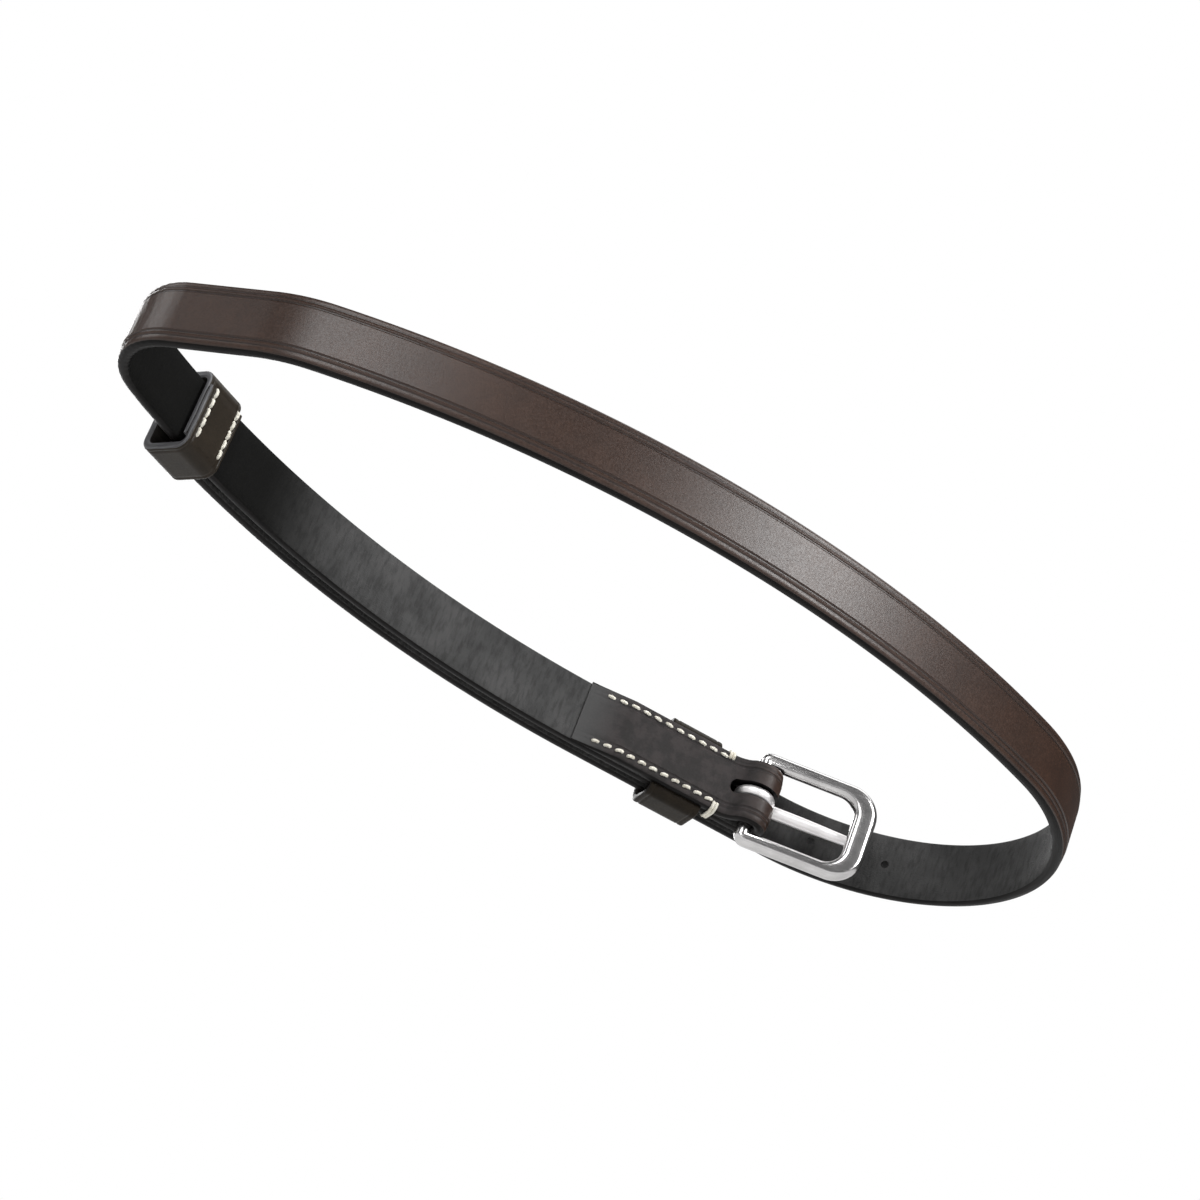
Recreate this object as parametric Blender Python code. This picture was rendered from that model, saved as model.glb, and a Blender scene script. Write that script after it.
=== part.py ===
"""Flash nose strap: a narrow leather strap, bent into the loop that goes round a horse's muzzle.

The loop lies flat in the XY plane. The origin is the middle of the seat, the short straight
stretch that a noseband's flash loop holds. +X runs along the seat towards the chin bend, +Y
points into the loop, and Z is the strap's width. The leather's grain side faces out of the loop.
All sizes are in metres.
"""

import math

import bmesh
import bpy
from mathutils import Matrix, Vector

COLLECTION = "flash_nose_strap"
CUTTER_COLLECTION = "cutters"

# Strap leather: one thickness, with a raised centre band between sloping borders
STRAP_WIDTH = 0.013
STRAP_THICKNESS = 0.0025
BORDER_DROP = 0.0005
EDGE_CHAMFER = 0.0004
BAND_SHARE = 0.64

# Loop in plan, along the middle of the strap's thickness
SEAT_LENGTH = 0.016
CHEEK_RADIUS = 0.0132
CHEEK_TURN = math.radians(98.3)
BACK_RADIUS = 0.1686
BACK_TURN = math.radians(39.8)
CHAPE_LENGTH = 0.035
SHOULDER_RADIUS = 0.030
SHOULDER_TURN = math.radians(20.7)
CHIN_RADIUS = 0.0383
BILLET_RUN = 0.00698

# The billet lies outside the chape and the back run, one thickness and a gap further out
LAYER_GAP = 0.001
TAIL_LENGTH = 0.107
TAIL_POINT_LENGTH = 0.011
TAIL_NOSE_RADIUS = 0.002

# Punched holes in the billet, from the one next to the chin bend
HOLE_RADIUS = 0.0011
HOLE_PITCH = 0.0155
HOLE_COUNT = 9
FIRST_HOLE_FROM_BAR = 0.0310

# Buckle: a flat loop with a round heel bar
BAR_RADIUS = 0.0015
BAR_CLEARANCE = 0.0003
SIDE_CLEARANCE = 0.0006
SIDE_BAR_WIDTH = 0.0031
END_BAR_WIDTH = 0.0045
FRAME_LENGTH = 0.0235
FRAME_THICKNESS = 0.0028
FRAME_EDGE_RADIUS = 0.0005
FRAME_OUTER_CORNER = 0.0062
FRAME_INNER_CORNER = 0.0035
FRAME_HEEL_CORNER = 0.0024
FRAME_REST_ANGLE = math.radians(15)

# Prong: a wire bent round the heel bar, its tip on the outer face of the end bar
PRONG_RADIUS = 0.001
PRONG_TIP_RADIUS = 0.0008
PRONG_EYE_TURN = math.radians(265)
PRONG_TIP_INSET = 0.0008
SEAT_GAP = 0.0003

# Fold round the heel bar, with the prong's slot
FOLD_BACK_RADIUS = 0.005
CHAPE_GAP = 0.0011
TURNBACK_LENGTH = 0.0375
TURNBACK_THINNING = 0.001
SLOT_WIDTH = 0.0032
SLOT_REACH = 0.006
SKIVE_LENGTH = 0.009
SKIVE_END_THICKNESS = 0.0006

# Fixed keeper: its thin ends are sewn into the chape, and it goes round the billet
FIXED_KEEPER_WIDTH = 0.011
FIXED_KEEPER_FROM_BAR = 0.0090
FIXED_KEEPER_WALL = 0.0014
FIXED_KEEPER_TAB = 0.0005
FIXED_KEEPER_TAB_END = 0.0020
FIXED_KEEPER_SIDE_GAP = 0.0006
FIXED_KEEPER_OUTER_GAP = 0.0010
FIXED_KEEPER_CORNER = 0.0014

# Sliding keeper: a closed band round the back run and the tail, its joint on the inner side
SLIDING_KEEPER_WIDTH = 0.0095
SLIDING_KEEPER_WALL = 0.0016
SLIDING_KEEPER_JOINT_WALL = 0.0022
SLIDING_KEEPER_CLEARANCE = 0.0005
SLIDING_KEEPER_OUTER_CORNER = 0.0026
SLIDING_KEEPER_INNER_CORNER = 0.0010
SLIDING_KEEPER_FROM_CHEEK = 0.018

# Thread, as one length for each row
THREAD_RADIUS = 0.00025
THREAD_LIFT = 0.00012
CHAPE_STITCH_PITCH = 0.00245
CHAPE_STITCHES = 11
CHAPE_ROW_FROM_EDGE = 0.0016
CHAPE_ROW_FROM_BAR = 0.0075
KEEPER_STITCH_PITCH = 0.0021
KEEPER_STITCHES = 5
KEEPER_ROW_FROM_EDGE = 0.0015

# Facets round the heel bar, the prong and the thread, and over a plate's rounded edge
BAR_SIDES = 12
PRONG_SIDES = 10
THREAD_SIDES = 6
EDGE_STEPS = 1

# Overrun of every cutter, the largest gap between a round bend and its facets, and shading
OVERRUN = 0.001
FACET_GAP = 0.00005
WELD_DISTANCE = 0.0000001
SHARP_ANGLE = math.radians(35)

# Sizes that follow from the ones above
HALF_WIDTH = STRAP_WIDTH / 2
HALF_THICKNESS = STRAP_THICKNESS / 2
LAYER_STEP = STRAP_THICKNESS + LAYER_GAP
CHAPE_STEP = STRAP_THICKNESS + CHAPE_GAP - TURNBACK_THINNING
FOLD_RADIUS = BAR_RADIUS + BAR_CLEARANCE + HALF_THICKNESS
FOLD_OUTER_RADIUS = FOLD_RADIUS + HALF_THICKNESS
EYE_RADIUS = BAR_RADIUS + BAR_CLEARANCE + PRONG_RADIUS
FRAME_HALF_OPENING = HALF_WIDTH + SIDE_CLEARANCE
FRAME_HALF_HEIGHT = FRAME_HALF_OPENING + SIDE_BAR_WIDTH

# Heights in the chape, outwards from the heel bar's axis
BODY_LINE = FOLD_RADIUS
TURNBACK_LINE = BODY_LINE - CHAPE_STEP
TURNBACK_FACE = TURNBACK_LINE - HALF_THICKNESS
TAB_LINE = BODY_LINE - HALF_THICKNESS - CHAPE_GAP / 2
BODY_FACE = BODY_LINE + HALF_THICKNESS
BILLET_FACE = BODY_LINE + LAYER_STEP + HALF_THICKNESS

LEATHER_BROWN = (0.045, 0.026, 0.020)
KEEPER_BROWN = (0.022, 0.015, 0.010)
STEEL_GREY = (0.60, 0.60, 0.61)
THREAD_CREAM = (0.75, 0.71, 0.60)


def direction(heading):
    """The unit vector that a heading in the plane points along."""
    return Vector((math.cos(heading), math.sin(heading), 0))


def to_the_left(heading):
    """The unit vector to the left of a heading in the plane."""
    return Vector((-math.sin(heading), math.cos(heading), 0))


def facet_turn(radius):
    """The turn of one facet of a bend, so that it lies within FACET_GAP of the round."""
    return 2 * math.acos(1 - FACET_GAP / radius)


def walk(point, heading, legs):
    """Stations (point, heading) along legs of (length, turn). A turn to the left is positive."""
    stations = [(Vector(point), heading)]
    for length, turn in legs:
        start, first_heading = stations[-1]
        count = math.ceil(abs(turn) / facet_turn(length / abs(turn))) if turn else 1
        for i in range(1, count + 1):
            share = i / count
            angle = turn * share
            reach = 2 * length / turn * math.sin(angle / 2) if turn else length * share
            place = start + reach * direction(first_heading + angle / 2)
            stations.append((place, first_heading + angle))
    return stations


def bend(radius, turn):
    """The leg of a round bend."""
    return radius * abs(turn), turn


def back_branch():
    """Stations from the seat's middle, round the cheek bend, to the heel bar."""
    legs = [
        (SEAT_LENGTH / 2, 0),
        bend(CHEEK_RADIUS, -CHEEK_TURN),
        bend(BACK_RADIUS, -BACK_TURN),
        (CHAPE_LENGTH, 0),
    ]
    return walk((0, 0, 0), math.pi, legs)


def back_arc_centre():
    """The centre of the back run's arc, and the heading at its cheek end."""
    legs = [(SEAT_LENGTH / 2, 0), bend(CHEEK_RADIUS, -CHEEK_TURN)]
    point, heading = walk((0, 0, 0), math.pi, legs)[-1]
    return point - BACK_RADIUS * to_the_left(heading), heading


def fold_legs():
    """Legs that carry the strap round the heel bar and back along its flesh side."""
    rise = 2 * FOLD_RADIUS - CHAPE_STEP
    over_turn = math.acos(1 - rise / (FOLD_RADIUS + FOLD_BACK_RADIUS))
    run_back = (FOLD_RADIUS + FOLD_BACK_RADIUS) * math.sin(over_turn)
    return [
        bend(FOLD_RADIUS, -math.pi - over_turn),
        bend(FOLD_BACK_RADIUS, over_turn),
        (TURNBACK_LENGTH - run_back, 0),
    ]


def billet_legs():
    """Legs from the seat's middle, along the front run and the chin bend, to the tail's tip."""
    first_legs = [(SEAT_LENGTH / 2, 0), bend(SHOULDER_RADIUS, SHOULDER_TURN)]
    front_start, front_heading = walk((0, 0, 0), 0, first_legs)[-1]
    bar_point, bar_heading = back_branch()[-1]
    along = direction(bar_heading)
    outward = to_the_left(bar_heading)

    # The front run's arc starts at the shoulder and touches the chin bend from outside
    chin_centre = bar_point + BILLET_RUN * along + (LAYER_STEP - CHIN_RADIUS) * outward
    offset = front_start - chin_centre
    inward = to_the_left(front_heading)
    spare = CHIN_RADIUS**2 - offset.length_squared
    front_radius = spare / (offset.dot(inward) + CHIN_RADIUS) / 2
    away = chin_centre - front_start - front_radius * inward
    chin_heading = math.atan2(away.y, away.x) + math.pi / 2
    tail_radius = BACK_RADIUS + LAYER_STEP
    return first_legs + [
        bend(front_radius, chin_heading - front_heading),
        bend(CHIN_RADIUS, bar_heading + math.pi - chin_heading),
        (BILLET_RUN + CHAPE_LENGTH, 0),
        bend(tail_radius, TAIL_LENGTH / tail_radius),
    ]


def billet_station(from_bar):
    """The billet's station at a distance from the heel bar, measured back towards the chin."""
    legs = billet_legs()
    rest = sum(length for length, _ in legs) - TAIL_LENGTH - CHAPE_LENGTH - from_bar
    covered = []
    for length, turn in legs:
        share = min(max(rest / length, 0), 1)
        covered.append((share * length, share * turn))
        rest -= share * length
    return walk((0, 0, 0), 0, covered)[-1]


def collection(name):
    """The collection of this name, made if it is missing."""
    found = bpy.data.collections.get(name)
    if found is None:
        found = bpy.data.collections.new(name)
        bpy.context.scene.collection.children.link(found)
    return found


def material(name, colour, roughness, metallic):
    """A Principled material of one colour."""
    made = bpy.data.materials.new(name)
    made.use_nodes = True
    shader = made.node_tree.nodes["Principled BSDF"]
    shader.inputs["Base Color"].default_value = (*colour, 1)
    shader.inputs["Roughness"].default_value = roughness
    shader.inputs["Metallic"].default_value = metallic
    made.diffuse_color = (*colour, 1)
    return made


def poly_curve(name, points, cyclic=False, flat=False, radii=None):
    """A curve object of one straight-edged spline through the points."""
    data = bpy.data.curves.new(name, "CURVE")
    data.dimensions = "2D" if flat else "3D"
    add_spline(data, points, cyclic, radii)
    made = bpy.data.objects.new(name, data)
    collection(CUTTER_COLLECTION).objects.link(made)
    return made


def add_spline(data, points, cyclic, radii=None):
    """Adds a straight-edged spline through the points to a curve."""
    spline = data.splines.new("POLY")
    spline.points.add(len(points) - 1)
    for i, point in enumerate(points):
        spline.points[i].co = (*Vector(point).to_3d(), 1)
        spline.points[i].radius = radii[i] if radii else 1
    spline.use_cyclic_u = cyclic


def meshed(curve, matrix=None):
    """The curve as a closed, outward-facing mesh object, moved by the matrix. The curve goes."""
    bpy.context.view_layer.update()
    evaluated = curve.evaluated_get(bpy.context.evaluated_depsgraph_get())
    mesh = bpy.data.meshes.new_from_object(evaluated)
    name = curve.name
    place = curve.matrix_world.copy()
    bpy.data.objects.remove(curve)
    made = bpy.data.objects.new(name, mesh)
    shape = bmesh.new()
    shape.from_mesh(mesh)
    bmesh.ops.remove_doubles(shape, verts=shape.verts, dist=WELD_DISTANCE)
    bmesh.ops.recalc_face_normals(shape, faces=shape.faces)
    shape.to_mesh(mesh)
    shape.free()
    made.matrix_world = (matrix @ place) if matrix else place
    collection(CUTTER_COLLECTION).objects.link(made)
    return made


def tube(name, points, radius, shares=None, matrix=None, sides=THREAD_SIDES):
    """A round tube along the points, with filled ends. Shares scale its radius point by point."""
    curve = poly_curve(name, points, radii=shares)
    curve.data.bevel_depth = radius
    curve.data.bevel_resolution = sides // 2 - 2
    curve.data.use_fill_caps = True
    return meshed(curve, matrix)


def flat_solid(name, outlines, half_depth, matrix=None, edge_radius=0):
    """A plate of closed outlines, the inner ones holes, that reaches half_depth to each side."""
    curve = poly_curve(name, outlines[0], cyclic=True, flat=True)
    for outline in outlines[1:]:
        add_spline(curve.data, outline, True)
    curve.data.fill_mode = "BOTH"
    curve.data.extrude = half_depth - edge_radius
    curve.data.bevel_depth = edge_radius
    curve.data.bevel_resolution = EDGE_STEPS
    curve.data.offset = -edge_radius
    return meshed(curve, matrix)


def round_corner_outline(low, high, radii):
    """A rectangle's outline with its own radius at each corner, counter-clockwise from low."""
    corners = [(low[0], low[1]), (high[0], low[1]), (high[0], high[1]), (low[0], high[1])]
    points = []
    for i, (corner, radius) in enumerate(zip(corners, radii)):
        begin = math.pi + i * math.pi / 2
        inward = Vector((-math.cos(begin), -math.sin(begin))) + Vector(
            (-math.cos(begin + math.pi / 2), -math.sin(begin + math.pi / 2))
        )
        centre = Vector(corner) + radius * inward
        count = math.ceil(math.pi / 2 / facet_turn(radius)) if radius else 0
        for j in range(count + 1):
            angle = begin + math.pi / 2 * j / max(count, 1)
            points.append(centre + radius * Vector((math.cos(angle), math.sin(angle))))
    return points


def cut(target, *cutters):
    """Cuts the cutters out of the target."""
    for i, cutter in enumerate(cutters):
        cutter.hide_render = True
        cutter.display_type = "WIRE"
        change = target.modifiers.new(f"cut_{i}", "BOOLEAN")
        change.operation = "DIFFERENCE"
        change.solver = "EXACT"
        change.object = cutter


def joined(target, other):
    """Joins another solid to the target by a Boolean union."""
    other.hide_render = True
    other.display_type = "WIRE"
    change = target.modifiers.new("join", "BOOLEAN")
    change.operation = "UNION"
    change.solver = "EXACT"
    change.object = other


def finished(piece, look):
    """Puts a piece into the part's collection with its material, shaded smooth."""
    collection(CUTTER_COLLECTION).objects.unlink(piece)
    collection(COLLECTION).objects.link(piece)
    piece.data.materials.clear()
    piece.data.materials.append(look)
    piece.data.shade_smooth()
    piece.data.set_sharp_from_angle(angle=SHARP_ANGLE)
    return piece


def chape_matrix():
    """The chape's frame: on the heel bar's axis, x towards the buckle's end, y out of the loop."""
    point, heading = back_branch()[-1]
    origin = point - FOLD_RADIUS * to_the_left(heading)
    return Matrix.Translation(origin) @ Matrix.Rotation(heading, 4, "Z")


def buckle_matrix():
    """The buckle's frame: the chape's frame with the buckle tipped into the loop."""
    return chape_matrix() @ Matrix.Rotation(-FRAME_REST_ANGLE, 4, "Z")


def sliding_keeper_matrix():
    """The sliding keeper's frame: on the back arc's centre, y out through the keeper's middle."""
    centre, heading = back_arc_centre()
    turned = heading - SLIDING_KEEPER_FROM_CHEEK / BACK_RADIUS
    return Matrix.Translation(centre) @ Matrix.Rotation(turned, 4, "Z")


def strap_section():
    """The strap's cross-section: x towards the flesh side, y along the width."""
    band = HALF_WIDTH * BAND_SHARE
    border = BORDER_DROP - HALF_THICKNESS
    return [
        (HALF_THICKNESS, EDGE_CHAMFER - HALF_WIDTH),
        (HALF_THICKNESS, HALF_WIDTH - EDGE_CHAMFER),
        (HALF_THICKNESS - EDGE_CHAMFER, HALF_WIDTH),
        (border + EDGE_CHAMFER, HALF_WIDTH),
        (border, HALF_WIDTH - EDGE_CHAMFER),
        (-HALF_THICKNESS, band),
        (-HALF_THICKNESS, -band),
        (border, EDGE_CHAMFER - HALF_WIDTH),
        (border + EDGE_CHAMFER, -HALF_WIDTH),
        (HALF_THICKNESS - EDGE_CHAMFER, -HALF_WIDTH),
    ]


def along_and_wide(matrix):
    """The matrix turned so that a plate's outline lies along the strap and across its width."""
    return matrix @ Matrix.Rotation(math.pi / 2, 4, "X")


def outward_and_wide(matrix):
    """The matrix turned so that a plate's outline lies outwards and across the strap's width."""
    return matrix @ Matrix(((0, 0, 1, 0), (1, 0, 0, 0), (0, 1, 0, 0), (0, 0, 0, 1)))


def hole_cutters():
    """A round cutter for each hole of the billet."""
    outline = round_corner_outline(
        (-HOLE_RADIUS, -HOLE_RADIUS), (HOLE_RADIUS, HOLE_RADIUS), [HOLE_RADIUS] * 4
    )
    half_depth = HALF_THICKNESS + LAYER_GAP / 2
    cutters = []
    for i in range(HOLE_COUNT):
        point, heading = billet_station(FIRST_HOLE_FROM_BAR - i * HOLE_PITCH)
        place = Matrix.Translation(point) @ Matrix.Rotation(heading, 4, "Z")
        cutters.append(flat_solid(f"hole_cutter_{i}", [outline], half_depth, along_and_wide(place)))
    return cutters


def slot_cutter():
    """The prong's slot through the fold, round at the end that lies in the chape."""
    outline = round_corner_outline(
        (-SLOT_REACH, -SLOT_WIDTH / 2),
        (FOLD_OUTER_RADIUS + OVERRUN, SLOT_WIDTH / 2),
        [SLOT_WIDTH / 2, OVERRUN, OVERRUN, SLOT_WIDTH / 2],
    )
    low = -FOLD_OUTER_RADIUS - OVERRUN
    high = BODY_FACE + LAYER_GAP / 2
    middle = Matrix.Translation((0, (low + high) / 2, 0))
    return flat_solid("slot_cutter", [outline], (high - low) / 2, along_and_wide(chape_matrix() @ middle))


def thinning_cutter():
    """The slice between the chape's layers that thins the turn-back on its flesh side."""
    flesh_face = BODY_LINE - HALF_THICKNESS
    run_back = SLOT_REACH + SLOT_WIDTH / 2
    outline = [
        (-TURNBACK_LENGTH - OVERRUN, flesh_face - CHAPE_GAP),
        (-run_back, flesh_face - CHAPE_GAP),
        (-run_back, flesh_face - (CHAPE_GAP - TURNBACK_THINNING) / 2),
        (-TURNBACK_LENGTH - OVERRUN, flesh_face - (CHAPE_GAP - TURNBACK_THINNING) / 2),
    ]
    return flat_solid("thinning_cutter", [outline], HALF_WIDTH + OVERRUN, chape_matrix())


def skive_cutter():
    """The wedge that thins the turn-back towards its end."""
    thin_face = BODY_LINE - HALF_THICKNESS - CHAPE_GAP - SKIVE_END_THICKNESS
    outline = [
        (SKIVE_LENGTH - TURNBACK_LENGTH, TURNBACK_FACE),
        (-TURNBACK_LENGTH - OVERRUN, thin_face),
        (-TURNBACK_LENGTH - OVERRUN, TURNBACK_FACE - OVERRUN),
        (SKIVE_LENGTH - TURNBACK_LENGTH, TURNBACK_FACE - OVERRUN),
    ]
    return flat_solid("skive_cutter", [outline], HALF_WIDTH + OVERRUN, chape_matrix())


def tail_point_cutters():
    """Two cutters that leave a rounded point at the tail's tip, one for each edge."""
    tip, heading = billet_station(-CHAPE_LENGTH - TAIL_LENGTH)
    turned = heading - TAIL_POINT_LENGTH / (BACK_RADIUS + LAYER_STEP) / 2
    place = Matrix.Translation(tip) @ Matrix.Rotation(turned, 4, "Z")
    slope = math.atan2(HALF_WIDTH - TAIL_NOSE_RADIUS, TAIL_POINT_LENGTH)
    nose_turn = math.pi / 2 - slope
    count = math.ceil(nose_turn / facet_turn(TAIL_NOSE_RADIUS))
    nose = [
        (
            TAIL_NOSE_RADIUS * (math.cos(nose_turn * i / count) - 1),
            TAIL_NOSE_RADIUS * math.sin(nose_turn * i / count),
        )
        for i in range(count + 1)
    ]
    run = TAIL_POINT_LENGTH + OVERRUN
    outline = nose + [
        (nose[-1][0] - run * math.cos(slope), nose[-1][1] + run * math.sin(slope)),
        (nose[-1][0] - run * math.cos(slope), nose[-1][1] + run * math.sin(slope) + OVERRUN),
        (OVERRUN, HALF_WIDTH + 2 * OVERRUN),
        (OVERRUN, 0),
    ]
    mirrored = [(x, -y) for x, y in outline]
    depth = HALF_THICKNESS + LAYER_GAP / 2
    return [
        flat_solid("tail_cutter_upper", [outline], depth, along_and_wide(place)),
        flat_solid("tail_cutter_lower", [mirrored], depth, along_and_wide(place)),
    ]


def build_strap():
    """The one piece of leather: turn-back, chape, back run, cheek bend, seat, front run, billet."""
    bar_point, bar_heading = back_branch()[-1]
    inner = back_branch() + walk(bar_point, bar_heading, fold_legs())[1:]
    stations = walk((0, 0, 0), 0, billet_legs())[:0:-1] + inner
    section = poly_curve("strap_section", strap_section(), cyclic=True, flat=True)
    path = poly_curve("strap", [point for point, _ in stations])
    path.data.twist_mode = "Z_UP"
    path.data.bevel_mode = "OBJECT"
    path.data.bevel_object = section
    path.data.use_fill_caps = True
    strap = meshed(path)
    bpy.data.objects.remove(section)
    cut(strap, slot_cutter(), thinning_cutter(), skive_cutter(), *tail_point_cutters(), *hole_cutters())
    return finished(strap, material("strap_leather", LEATHER_BROWN, 0.42, 0))


def build_buckle_frame():
    """The buckle's loop: a flat plate open at the heel, joined by the round heel bar."""
    inner_end = FRAME_LENGTH - END_BAR_WIDTH
    outer = round_corner_outline(
        (-BAR_RADIUS, -FRAME_HALF_HEIGHT),
        (FRAME_LENGTH, FRAME_HALF_HEIGHT),
        [FRAME_HEEL_CORNER, FRAME_OUTER_CORNER, FRAME_OUTER_CORNER, FRAME_HEEL_CORNER],
    )
    # The opening runs out through the heel, where the bar closes it
    opening = round_corner_outline(
        (-BAR_RADIUS, -FRAME_HALF_OPENING),
        (inner_end, FRAME_HALF_OPENING),
        [0, FRAME_INNER_CORNER, FRAME_INNER_CORNER, 0],
    )
    place = along_and_wide(buckle_matrix())
    frame = flat_solid(
        "buckle_frame", [outer + opening[::-1]], FRAME_THICKNESS / 2, place, FRAME_EDGE_RADIUS
    )
    bar_end = FRAME_HALF_OPENING + SIDE_BAR_WIDTH / 3
    ends = [(0, 0, -bar_end), (0, 0, bar_end)]
    joined(frame, tube("bar_blank", ends, BAR_RADIUS, matrix=buckle_matrix(), sides=BAR_SIDES))
    return finished(frame, material("buckle_steel", STEEL_GREY, 0.22, 1))


def build_prong():
    """The prong: an eye round the heel bar and a straight blade to the end bar."""
    wire_end = EYE_RADIUS * to_the_left(PRONG_EYE_TURN)
    eye = walk(wire_end, PRONG_EYE_TURN, [bend(EYE_RADIUS, -PRONG_EYE_TURN)])
    tip = (
        FRAME_LENGTH - PRONG_TIP_INSET,
        FRAME_THICKNESS / 2 + SEAT_GAP + PRONG_TIP_RADIUS,
        0,
    )
    shares = [1] * len(eye) + [PRONG_TIP_RADIUS / PRONG_RADIUS]
    points = [point for point, _ in eye] + [tip]
    prong = tube("buckle_prong", points, PRONG_RADIUS, shares, buckle_matrix(), PRONG_SIDES)
    return finished(prong, material("prong_steel", STEEL_GREY, 0.25, 1))


def build_fixed_keeper():
    """The fixed keeper: thin ends between the chape's layers, and a loop round the billet."""
    side_line = HALF_WIDTH + FIXED_KEEPER_SIDE_GAP + FIXED_KEEPER_WALL / 2
    outer_line = BILLET_FACE + FIXED_KEEPER_OUTER_GAP + FIXED_KEEPER_WALL / 2
    corner = FIXED_KEEPER_CORNER
    half = walk(
        (TAB_LINE, FIXED_KEEPER_TAB_END, 0),
        math.pi / 2,
        [
            (side_line - corner - FIXED_KEEPER_TAB_END, 0),
            bend(corner, -math.pi / 2),
            (outer_line - TAB_LINE - 2 * corner, 0),
            bend(corner, -math.pi / 2),
        ],
    )
    corner_stations = math.ceil(math.pi / 2 / facet_turn(corner))
    outer_side, inner_side = [], []
    for i, (point, heading) in enumerate(half):
        share = min(max((i - 1) / corner_stations, 0), 1)
        thickness = FIXED_KEEPER_TAB + share * (FIXED_KEEPER_WALL - FIXED_KEEPER_TAB)
        outer_side.append(point + thickness / 2 * to_the_left(heading))
        inner_side.append(point - thickness / 2 * to_the_left(heading))
    mirror = Matrix.Scale(-1, 4, (0, 1, 0))
    outline = [
        *outer_side,
        *[mirror @ point for point in reversed(outer_side)],
        *[mirror @ point for point in inner_side],
        *reversed(inner_side),
    ]
    middle = Matrix.Translation((-FIXED_KEEPER_FROM_BAR - FIXED_KEEPER_WIDTH / 2, 0, 0))
    place = outward_and_wide(chape_matrix() @ middle)
    keeper = flat_solid("fixed_keeper", [outline], FIXED_KEEPER_WIDTH / 2, place)
    return finished(keeper, material("keeper_leather", KEEPER_BROWN, 0.5, 0))


def build_sliding_keeper():
    """The sliding keeper: a closed band round the back run and the tail."""
    clear = SLIDING_KEEPER_CLEARANCE
    low = (BACK_RADIUS - HALF_THICKNESS - clear, -HALF_WIDTH - clear)
    high = (BACK_RADIUS + LAYER_STEP + HALF_THICKNESS + clear, HALF_WIDTH + clear)
    wall = SLIDING_KEEPER_WALL
    inner = round_corner_outline(low, high, [SLIDING_KEEPER_INNER_CORNER] * 4)
    outer = round_corner_outline(
        (low[0] - SLIDING_KEEPER_JOINT_WALL, low[1] - wall),
        (high[0] + wall, high[1] + wall),
        [SLIDING_KEEPER_OUTER_CORNER] * 4,
    )
    place = outward_and_wide(sliding_keeper_matrix())
    keeper = flat_solid("sliding_keeper", [outer, inner], SLIDING_KEEPER_WIDTH / 2, place)
    return finished(keeper, material("sliding_keeper_leather", KEEPER_BROWN, 0.5, 0))


def stitch_wave(count, pitch):
    """Places along a row and heights above its line: up in each stitch's middle, down between."""
    return [(i * pitch / 2, THREAD_LIFT if i % 2 else 0) for i in range(2 * count + 1)]


def chape_face_drop(from_bar):
    """How far the skive has lowered the turn-back's face at a distance from the bar."""
    into_skive = max(from_bar - (TURNBACK_LENGTH - SKIVE_LENGTH), 0)
    thin_face = BODY_LINE - HALF_THICKNESS - CHAPE_GAP - SKIVE_END_THICKNESS
    return into_skive / (SKIVE_LENGTH + OVERRUN) * (thin_face - TURNBACK_FACE)


def build_chape_thread(name, side):
    """One row's thread: along the turn-back, round the edge by the buckle, back along the body."""
    row = side * (HALF_WIDTH - CHAPE_ROW_FROM_EDGE)
    edge = side * (HALF_WIDTH + SEAT_GAP + THREAD_RADIUS)
    inner_line = TURNBACK_FACE - SEAT_GAP - THREAD_RADIUS
    outer_line = BODY_FACE + LAYER_GAP / 2
    wave = stitch_wave(CHAPE_STITCHES, CHAPE_STITCH_PITCH)
    points = []
    for along, lift in reversed(wave):
        from_bar = CHAPE_ROW_FROM_BAR + along
        points.append((-from_bar, inner_line - lift + chape_face_drop(from_bar), row))
    corner = SEAT_GAP + THREAD_RADIUS
    points += [
        (-CHAPE_ROW_FROM_BAR, inner_line, edge - side * corner),
        (-CHAPE_ROW_FROM_BAR, inner_line + corner, edge),
        (-CHAPE_ROW_FROM_BAR, outer_line - corner, edge),
        (-CHAPE_ROW_FROM_BAR, outer_line, edge - side * corner),
    ]
    points += [(-CHAPE_ROW_FROM_BAR - along, outer_line, row) for along, _ in wave]
    thread = tube(name, points, THREAD_RADIUS, matrix=chape_matrix())
    return finished(thread, material(name, THREAD_CREAM, 0.7, 0))


def build_keeper_thread(name, side):
    """One row of thread over the sliding keeper's joint, across the strap."""
    along = side * (SLIDING_KEEPER_WIDTH / 2 - KEEPER_ROW_FROM_EDGE)
    joint_face = BACK_RADIUS - HALF_THICKNESS - SLIDING_KEEPER_CLEARANCE - SLIDING_KEEPER_JOINT_WALL
    line = joint_face - SEAT_GAP - THREAD_RADIUS
    start = -KEEPER_STITCHES * KEEPER_STITCH_PITCH / 2
    points = [
        (along, line - lift, start + place)
        for place, lift in stitch_wave(KEEPER_STITCHES, KEEPER_STITCH_PITCH)
    ]
    thread = tube(name, points, THREAD_RADIUS, matrix=sliding_keeper_matrix())
    return finished(thread, material(name, THREAD_CREAM, 0.7, 0))


def main():
    """Clears the scene and builds every piece."""
    for found in list(bpy.data.objects):
        bpy.data.objects.remove(found)
    collection(COLLECTION)
    collection(CUTTER_COLLECTION)
    build_strap()
    build_buckle_frame()
    build_prong()
    build_fixed_keeper()
    build_sliding_keeper()
    build_chape_thread("chape_thread_upper", 1)
    build_chape_thread("chape_thread_lower", -1)
    build_keeper_thread("sliding_keeper_thread_chin_side", 1)
    build_keeper_thread("sliding_keeper_thread_cheek_side", -1)


main()
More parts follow.
